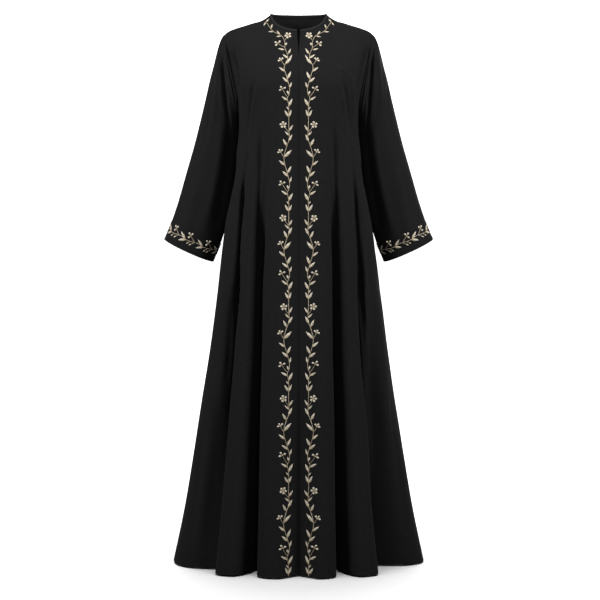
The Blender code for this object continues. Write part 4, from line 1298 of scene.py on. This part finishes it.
class ClothSettings(bpy.types.PropertyGroup):
    """Sizes and colours of the cloth."""

    thickness: FloatProperty(name="Thickness", description="Thickness of a sheet of crepe with its turnings",
                             default=0.0010, min=0.0004, max=0.003, unit="LENGTH")
    crease_depth: FloatProperty(name="Creases", description="Depth of the creases, 1 as charted",
                                default=1.0, min=0.0, max=2.0, subtype="FACTOR")
    hem_turn: FloatProperty(name="Hem", description="Depth of the turned hem and cuffs",
                            default=0.030, min=0.005, max=0.08, unit="LENGTH")
    hem_step: FloatProperty(name="Hem step", description="Height of the faint ridge at the hem's upper edge",
                            default=0.0003, min=0.0, max=0.002, unit="LENGTH")
    seam_dip: FloatProperty(name="Seam dip", description="Depth of the groove that the cloth makes at a seam",
                            default=0.0008, min=0.0, max=0.003, unit="LENGTH")
    binding_width: FloatProperty(name="Binding", description="Finished width of the neck binding",
                                 default=0.0060, min=0.003, max=0.012, unit="LENGTH")
    binding_thickness: FloatProperty(name="Binding thickness", description="Thickness of the folded binding",
                                     default=0.0022, min=0.001, max=0.004, unit="LENGTH")
    crepe_colour: FloatVectorProperty(name="Crepe", description="Colour of the crepe", subtype="COLOR",
                                      size=3, default=linear("#121213"), min=0.0, max=1.0)
    binding_colour: FloatVectorProperty(name="Binding colour", description="Colour of the folded binding",
                                        subtype="COLOR", size=3, default=linear("#121213"), min=0.0, max=1.0)


class EmbroiderySettings(bpy.types.PropertyGroup):
    """Colours and pitch of the embroidery thread."""

    thread_pitch: FloatProperty(name="Thread pitch", description="Distance between the drawn threads",
                                default=0.0013, min=0.0004, max=0.003, unit="LENGTH")
    gold: FloatVectorProperty(name="Gold", description="Lit colour of the leaves and petals", subtype="COLOR",
                              size=3, default=linear("#c6bca8"), min=0.0, max=1.0)
    # painted shade: the shaded colour drawn at the roots of the leaves and petals
    gold_painted_shade: FloatVectorProperty(name="Gold, shaded", description="Colour of the leaves at their roots",
                                    subtype="COLOR", size=3, default=linear("#a49272"), min=0.0, max=1.0)
    tan: FloatVectorProperty(name="Tan", description="Lit colour of the stems and knots", subtype="COLOR",
                             size=3, default=linear("#ab9e85"), min=0.0, max=1.0)
    # painted shade: the shaded colour drawn at the root end of the knots and a little into the stems
    tan_painted_shade: FloatVectorProperty(name="Tan, shaded", description="Shaded colour of the stems and knots",
                                   subtype="COLOR", size=3, default=linear("#7d6c50"), min=0.0, max=1.0)


class StageSettings(bpy.types.PropertyGroup):
    """The studio: camera, floor and lights."""

    camera_distance: FloatProperty(name="Camera distance", description="From the camera to the shoulders",
                                   default=3.5, min=1.0, unit="LENGTH")
    camera_side: FloatProperty(name="Camera side", description="From the middle to the wearer's left",
                               default=0.0036, unit="LENGTH")
    camera_height: FloatProperty(name="Camera height", description="Height of the camera from the shoulders",
                                 default=-0.741, unit="LENGTH")
    lens: FloatProperty(name="Lens", description="Focal length in millimetres on a 36 mm frame",
                        default=79.35, min=10.0)
    floor_colour: FloatVectorProperty(name="Floor", description="Colour of the floor and backdrop",
                                      subtype="COLOR", size=3, default=linear("#f2f2f2"), min=0.0, max=1.0)
    key: FloatProperty(name="Key light", description="Power of the large soft light above the front",
                       default=71.0, min=0.0, unit="POWER")
    fill: FloatProperty(name="Fill light", description="Power of the wide light from the other side",
                        default=70.0, min=0.0, unit="POWER")
    top: FloatProperty(name="Top light", description="Power of the soft light high in front",
                       default=17.0, min=0.0, unit="POWER")
    back: FloatProperty(name="Back light", description="Power of the soft light behind the wearer",
                        default=40.0, min=0.0, unit="POWER")
    backdrop: FloatProperty(name="Backdrop light", description="Power of the light behind, on the backdrop",
                            default=300.0, min=0.0, unit="POWER")
    overhead: FloatProperty(name="Floor light", description="Power of the light over the floor",
                            default=232.0, min=0.0, unit="POWER")
    sky: FloatProperty(name="Surroundings", description="Strength of the even light from all round",
                       default=0.03, min=0.0)
    bounce: FloatProperty(name="Bounce", description="Share of light that the floor throws back on the cloth",
                          default=0.12, min=0.0, max=1.0, subtype="FACTOR")


# ---------------------------------------------------------------- whole pieces


def halves(name):
    """A front's or back's left half and its right one, still on the left side: plain, and with creases."""
    cloth, at_front = bpy.context.scene.abaya_cloth, name == "front"
    plain = [front(guides, folds) if at_front else body_panel(guides, folds, 1)
             for guides, folds, _ in PANELS[name]]
    return plain, [dressed_panel(grid, creases, cloth, at_front)
                   for grid, (_, _, creases) in zip(plain, PANELS[name])]


def with_underlap(grid):
    """A front with a strip added along its edge that lies behind the other front, eased in below the slit."""
    share = ease((SLIT_FOOT_Z - grid[:, :1, 2:]) / UNDERLAP_FADE)
    return np.concatenate([grid[:, :1] + share * [*UNDERLAP, 0.0], grid], axis=1)


def sleeves():
    """Both sleeves' grids with their creases, the right one still on the left side."""
    cloth = bpy.context.scene.abaya_cloth
    edge = slice(0, YOKE_ROWS + ARMHOLE_ROWS + 1)
    made = [sleeve(f[edge, -1], b[edge, -1]) for f, b in zip(halves("front")[0], halves("back")[0])]
    return [dressed_sleeve(*grid_and_turn, creases, cloth)
            for grid_and_turn, creases in zip(made, (SLEEVE_LEFT_CREASES, SLEEVE_RIGHT_CREASES))]


def neck_line():
    """The line of the neck hole, from one front edge round the back to the other."""
    lines = [np.concatenate([back_grid[0, : neck_lines(back_guides)],
                             front_grid[0, neck_lines(front_guides) - 2 :: -1]])
             for front_grid, back_grid, (front_guides, *_), (back_guides, *_)
             in zip(halves("front")[0], halves("back")[0], PANELS["front"], PANELS["back"])]
    return np.concatenate([mirrored(lines[1][:0:-1]), lines[0]])


def neck_directions(points):
    """For points on the neck hole: up along the neck, leaning in to it, and square out from it.

    The neck leans in most at the sides and stands up at the centre front and back.
    """
    inward = np.array([0.0, NECK_SIDE[0]]) - points[:, :2]
    inward /= np.linalg.norm(inward, axis=1, keepdims=True)
    middle = 1 - np.abs(points[:, :1]) / NECK_HALF
    slope = NECK_SLOPE_SIDE + (NECK_SLOPE_MIDDLE - NECK_SLOPE_SIDE) * ease(NECK_TURN * middle)
    up = np.concatenate([inward * np.cos(slope), np.sin(slope)], axis=1)
    out = np.concatenate([-inward * np.sin(slope), np.cos(slope)], axis=1)
    return up, out


def folded_strip(cloth):
    """The outline of the binding's section, and the distance across the strip of each of its points.

    The strip's middle runs up one side, over the top in a half round and down the other side. The outline is
    that line half a strip's thickness out, and back again half a thickness in. Points are how far up the neck
    they lie, and how far out from the panels' middle.
    """
    radius = (cloth.binding_thickness - STRIP) / 2
    straight = cloth.binding_width - cloth.binding_thickness / 2
    turn = np.linspace(0, np.pi, BINDING_TOP)
    side = np.linspace(0, straight, BINDING_SIDE + 1)[:-1]
    rise = np.concatenate([side, straight + radius * np.sin(turn), side[::-1]])
    stand = np.concatenate([0 * side + radius, radius * np.cos(turn), 0 * side - radius])
    line = np.stack([rise, stand], axis=1)
    away = np.concatenate([[(0.0, 1.0)] * len(side), np.stack([np.sin(turn), np.cos(turn)], axis=1),
                           [(0.0, -1.0)] * len(side)])
    profile = np.concatenate([line + away * STRIP / 2, (line - away * STRIP / 2)[::-1]])
    walk = walked(line)
    return profile - [(0.0, cloth.thickness / 2)], np.concatenate([walk, walk[::-1]])


def bound_neck(path, cloth):
    """The binding's section, set along the path: its points, faces, UV places, and its length and width."""
    up, out = neck_directions(path)
    profile, across = folded_strip(cloth)
    rings = path[:, None] + up[:, None] * profile[:, :1] + out[:, None] * profile[:, 1:]
    ends = rings[[0, -1]].mean(axis=1)
    points = np.concatenate([ends[:1], rings.reshape(-1, 3), ends[1:]])
    walk = walked(path)
    flat = np.stack([walk[:, None] + 0 * across, across + 0 * walk[:, None]], axis=-1).reshape(-1, 2)
    flat = np.concatenate([[(0.0, 0.0)], flat, [(walk[-1], 0.0)]])
    return points, closed_rings(1, len(path), len(profile)), flat, (walk[-1], across.max())


# ---------------------------------------------------------------- operators


def finish(piece, node, slot, flat, area, held):
    """Hangs a piece of cloth on the root body and hides the part that it stands for."""
    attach(piece, ROOT)
    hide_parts(node)


def add_crepe(node, grid, wrap=False):
    """Adds the crepe shell that stands for a node."""
    cloth = bpy.context.scene.abaya_cloth
    piece = shell(f"{node}_cloth", grid, cloth.thickness, woven_polyester_crepe(cloth), wrap)
    finish(piece, node, "crepe", *CUTS[node], "hung")


class ABAYA_OT_fronts(bpy.types.Operator):
    """Adds the right and left fronts"""

    bl_idname = "abaya.fronts"
    bl_label = "Fronts"

    def execute(self, context):
        left, right = halves("front")[1]
        add_crepe("front_left", with_underlap(left))
        add_crepe("front_right", mirrored(right))
        return {"FINISHED"}


class ABAYA_OT_back(bpy.types.Operator):
    """Adds the back"""

    bl_idname = "abaya.back"
    bl_label = "Back"

    def execute(self, context):
        add_crepe("back", join_halves(*halves("back")[1]))
        return {"FINISHED"}


class ABAYA_OT_sleeves(bpy.types.Operator):
    """Adds the two sleeves"""

    bl_idname = "abaya.sleeves"
    bl_label = "Sleeves"

    def execute(self, context):
        left, right = sleeves()
        add_crepe("sleeve_left", left, wrap=True)
        add_crepe("sleeve_right", mirrored(right), wrap=True)
        return {"FINISHED"}


class ABAYA_OT_neck_binding(bpy.types.Operator):
    """Adds the strip that binds the neck"""

    bl_idname = "abaya.neck_binding"
    bl_label = "Neck binding"

    def execute(self, context):
        cloth = context.scene.abaya_cloth
        points, faces, flat, size = bound_neck(neck_line(), cloth)
        piece = add_mesh("neck_binding_strip", points, faces, folded_bias_crepe(cloth), "cloth", flat)
        finish(piece, "neck_binding", "binding", size, None, "stretched")
        return {"FINISHED"}


class ABAYA_OT_front_vines(bpy.types.Operator):
    """Adds the vines down both front edges and round the neck"""

    bl_idname = "abaya.front_vines"
    bl_label = "Front vines"

    def execute(self, context):
        materials = threads(context.scene.abaya_embroidery)
        for name, grid, mirror in zip(("left", "right"), halves("front")[1], (False, True)):
            plan, line = front_plan(SEED + mirror)
            embroider(f"front_{name}_vine", front_ground(grid), plan, line, materials, mirror)
        return {"FINISHED"}


class ABAYA_OT_cuff_vines(bpy.types.Operator):
    """Adds the vines round both cuffs"""

    bl_idname = "abaya.cuff_vines"
    bl_label = "Cuff vines"

    def execute(self, context):
        materials = threads(context.scene.abaya_embroidery)
        for name, grid, mirror in zip(("left", "right"), sleeves(), (False, True)):
            ground, circumference = cuff_ground(grid)
            plan, line = cuff_plan(SEED + 2 + mirror, circumference)
            embroider(f"cuff_{name}_vine", ground, plan, line, materials, mirror)
        return {"FINISHED"}


class ABAYA_OT_stage(bpy.types.Operator):
    """Adds the floor with its backdrop, the lights and the camera"""

    bl_idname = "abaya.stage"
    bl_label = "Stage"

    def execute(self, context):
        scene, stage = context.scene, context.scene.abaya_stage
        floor = self.add_floor(stage)
        # Each light's place and target, the side of its square, its power, and whether the floor alone
        # takes its light (INCLUDE) or all but the floor does (EXCLUDE).
        lights = (
            ("key light", (-1.95, -1.20, 0.75), (0.0, 0.0, -0.45), 0.8, stage.key, "EXCLUDE"),
            ("fill light", (2.00, -1.20, 0.72), (0.0, 0.0, -0.45), 0.8, stage.fill, "EXCLUDE"),
            ("top light", (0.1, -1.5, 1.10), (0.0, 0.0, -0.25), 0.8, stage.top, "EXCLUDE"),
            ("back light", (1.5, 2.5, 1.10), (0.0, 0.0, -0.45), 1.2, stage.back, "EXCLUDE"),
            ("backdrop light", (0.0, 2.5, 2.4), (0.0, 4.6, -0.6), 3.0, stage.backdrop, "INCLUDE"),
            ("floor light", (0.0, 0.0, 2.6), (0.0, 0.0, -1.4), 3.0, stage.overhead, "INCLUDE"),
        )
        for light in lights:
            self.add_light(*light, floor)
        world = bpy.data.worlds.new("white surroundings")
        world.use_nodes = True
        background = world.node_tree.nodes["Background"]
        background.inputs["Color"].default_value = (1.0, 1.0, 1.0, 1.0)
        background.inputs["Strength"].default_value = stage.sky
        scene.world = world
        camera = bpy.data.objects.new("camera", bpy.data.cameras.new("camera"))
        camera.data.lens = stage.lens
        camera.data.sensor_width = 36.0
        camera.location = (stage.camera_side, -stage.camera_distance, stage.camera_height)
        camera.rotation_euler = (np.pi / 2, 0.0, 0.0)
        scene.collection.objects.link(camera)
        scene.camera = camera
        scene.view_settings.view_transform = "Standard"
        return {"FINISHED"}

    def add_floor(self, stage):
        """A sweep: a level floor, a quarter round and an upright wall, drawn out sideways.

        The round starts some way behind the cloak. In front and to the sides the floor goes far on.
        """
        radius, back, half, top = 0.9, 3.8, 16.0, 9.0
        level = HEM_Z - FLOOR_GAP
        turn = np.linspace(0, np.pi / 2, 25)
        y = np.concatenate([[-half], back + radius * np.sin(turn), [back + radius]])
        z = np.concatenate([[level], level + radius * (1 - np.cos(turn)), [level + top]])
        x = np.linspace(-half, half, 3)[:, None]
        grid = np.stack([x + 0 * y, y + 0 * x, z + 0 * x], axis=-1)
        number = np.arange(grid.shape[0] * grid.shape[1]).reshape(grid.shape[:2])
        faces = strip(number)[:, ::-1]
        floor = add_mesh("studio_floor", grid.reshape(-1, 3), [faces], painted_studio_floor(stage), "floor",
                         grid[..., :2].reshape(-1, 2))
        return floor

    def add_light(self, name, place, target, size, power, state, floor):
        """A square soft light, screened so that it lights either the floor alone or all but the floor."""
        data = bpy.data.lights.new(name, "AREA")
        data.energy, data.size = power, size
        light = bpy.data.objects.new(name, data)
        light.location = place
        light.rotation_euler = (Vector(target) - Vector(place)).to_track_quat("-Z", "Y").to_euler()
        bpy.context.scene.collection.objects.link(light)
        screen = bpy.data.collections.new(f"screen of {name}")
        screen.objects.link(floor)
        screen.collection_objects[0].light_linking.link_state = state
        light.light_linking.receiver_collection = screen


class ABAYA_PT_panel(bpy.types.Panel):
    """The cloak's pieces and settings"""

    bl_idname = "ABAYA_PT_panel"
    bl_label = "Abaya"
    bl_space_type = "VIEW_3D"
    bl_region_type = "UI"
    bl_category = "Abaya"

    def draw(self, context):
        for operator in OPERATORS:
            self.layout.operator(operator.bl_idname)
        for name, group in SETTINGS.items():
            box = self.layout.box()
            for setting in group.__annotations__:
                box.prop(getattr(context.scene, name), setting)


OPERATORS = (ABAYA_OT_fronts, ABAYA_OT_back, ABAYA_OT_sleeves, ABAYA_OT_neck_binding,
             ABAYA_OT_front_vines, ABAYA_OT_cuff_vines, ABAYA_OT_stage)
SETTINGS = {"abaya_cloth": ClothSettings, "abaya_embroidery": EmbroiderySettings,
            "abaya_stage": StageSettings}


def register():
    """Registers the settings, the operators and the panel."""
    for group in SETTINGS.values():
        bpy.utils.register_class(group)
    for name, group in SETTINGS.items():
        setattr(bpy.types.Scene, name, PointerProperty(type=group))
    for cls in (*OPERATORS, ABAYA_PT_panel):
        bpy.utils.register_class(cls)


def unregister():
    """Takes back what register added."""
    for cls in (ABAYA_PT_panel, *reversed(OPERATORS)):
        bpy.utils.unregister_class(cls)
    for name, group in reversed(SETTINGS.items()):
        delattr(bpy.types.Scene, name)
        bpy.utils.unregister_class(group)


def main():
    register()
    bpy.ops.abaya.fronts()
    bpy.ops.abaya.back()
    bpy.ops.abaya.sleeves()
    bpy.ops.abaya.neck_binding()
    bpy.ops.abaya.front_vines()
    bpy.ops.abaya.cuff_vines()
    bpy.ops.abaya.stage()


if __name__ == "__main__":
    main()
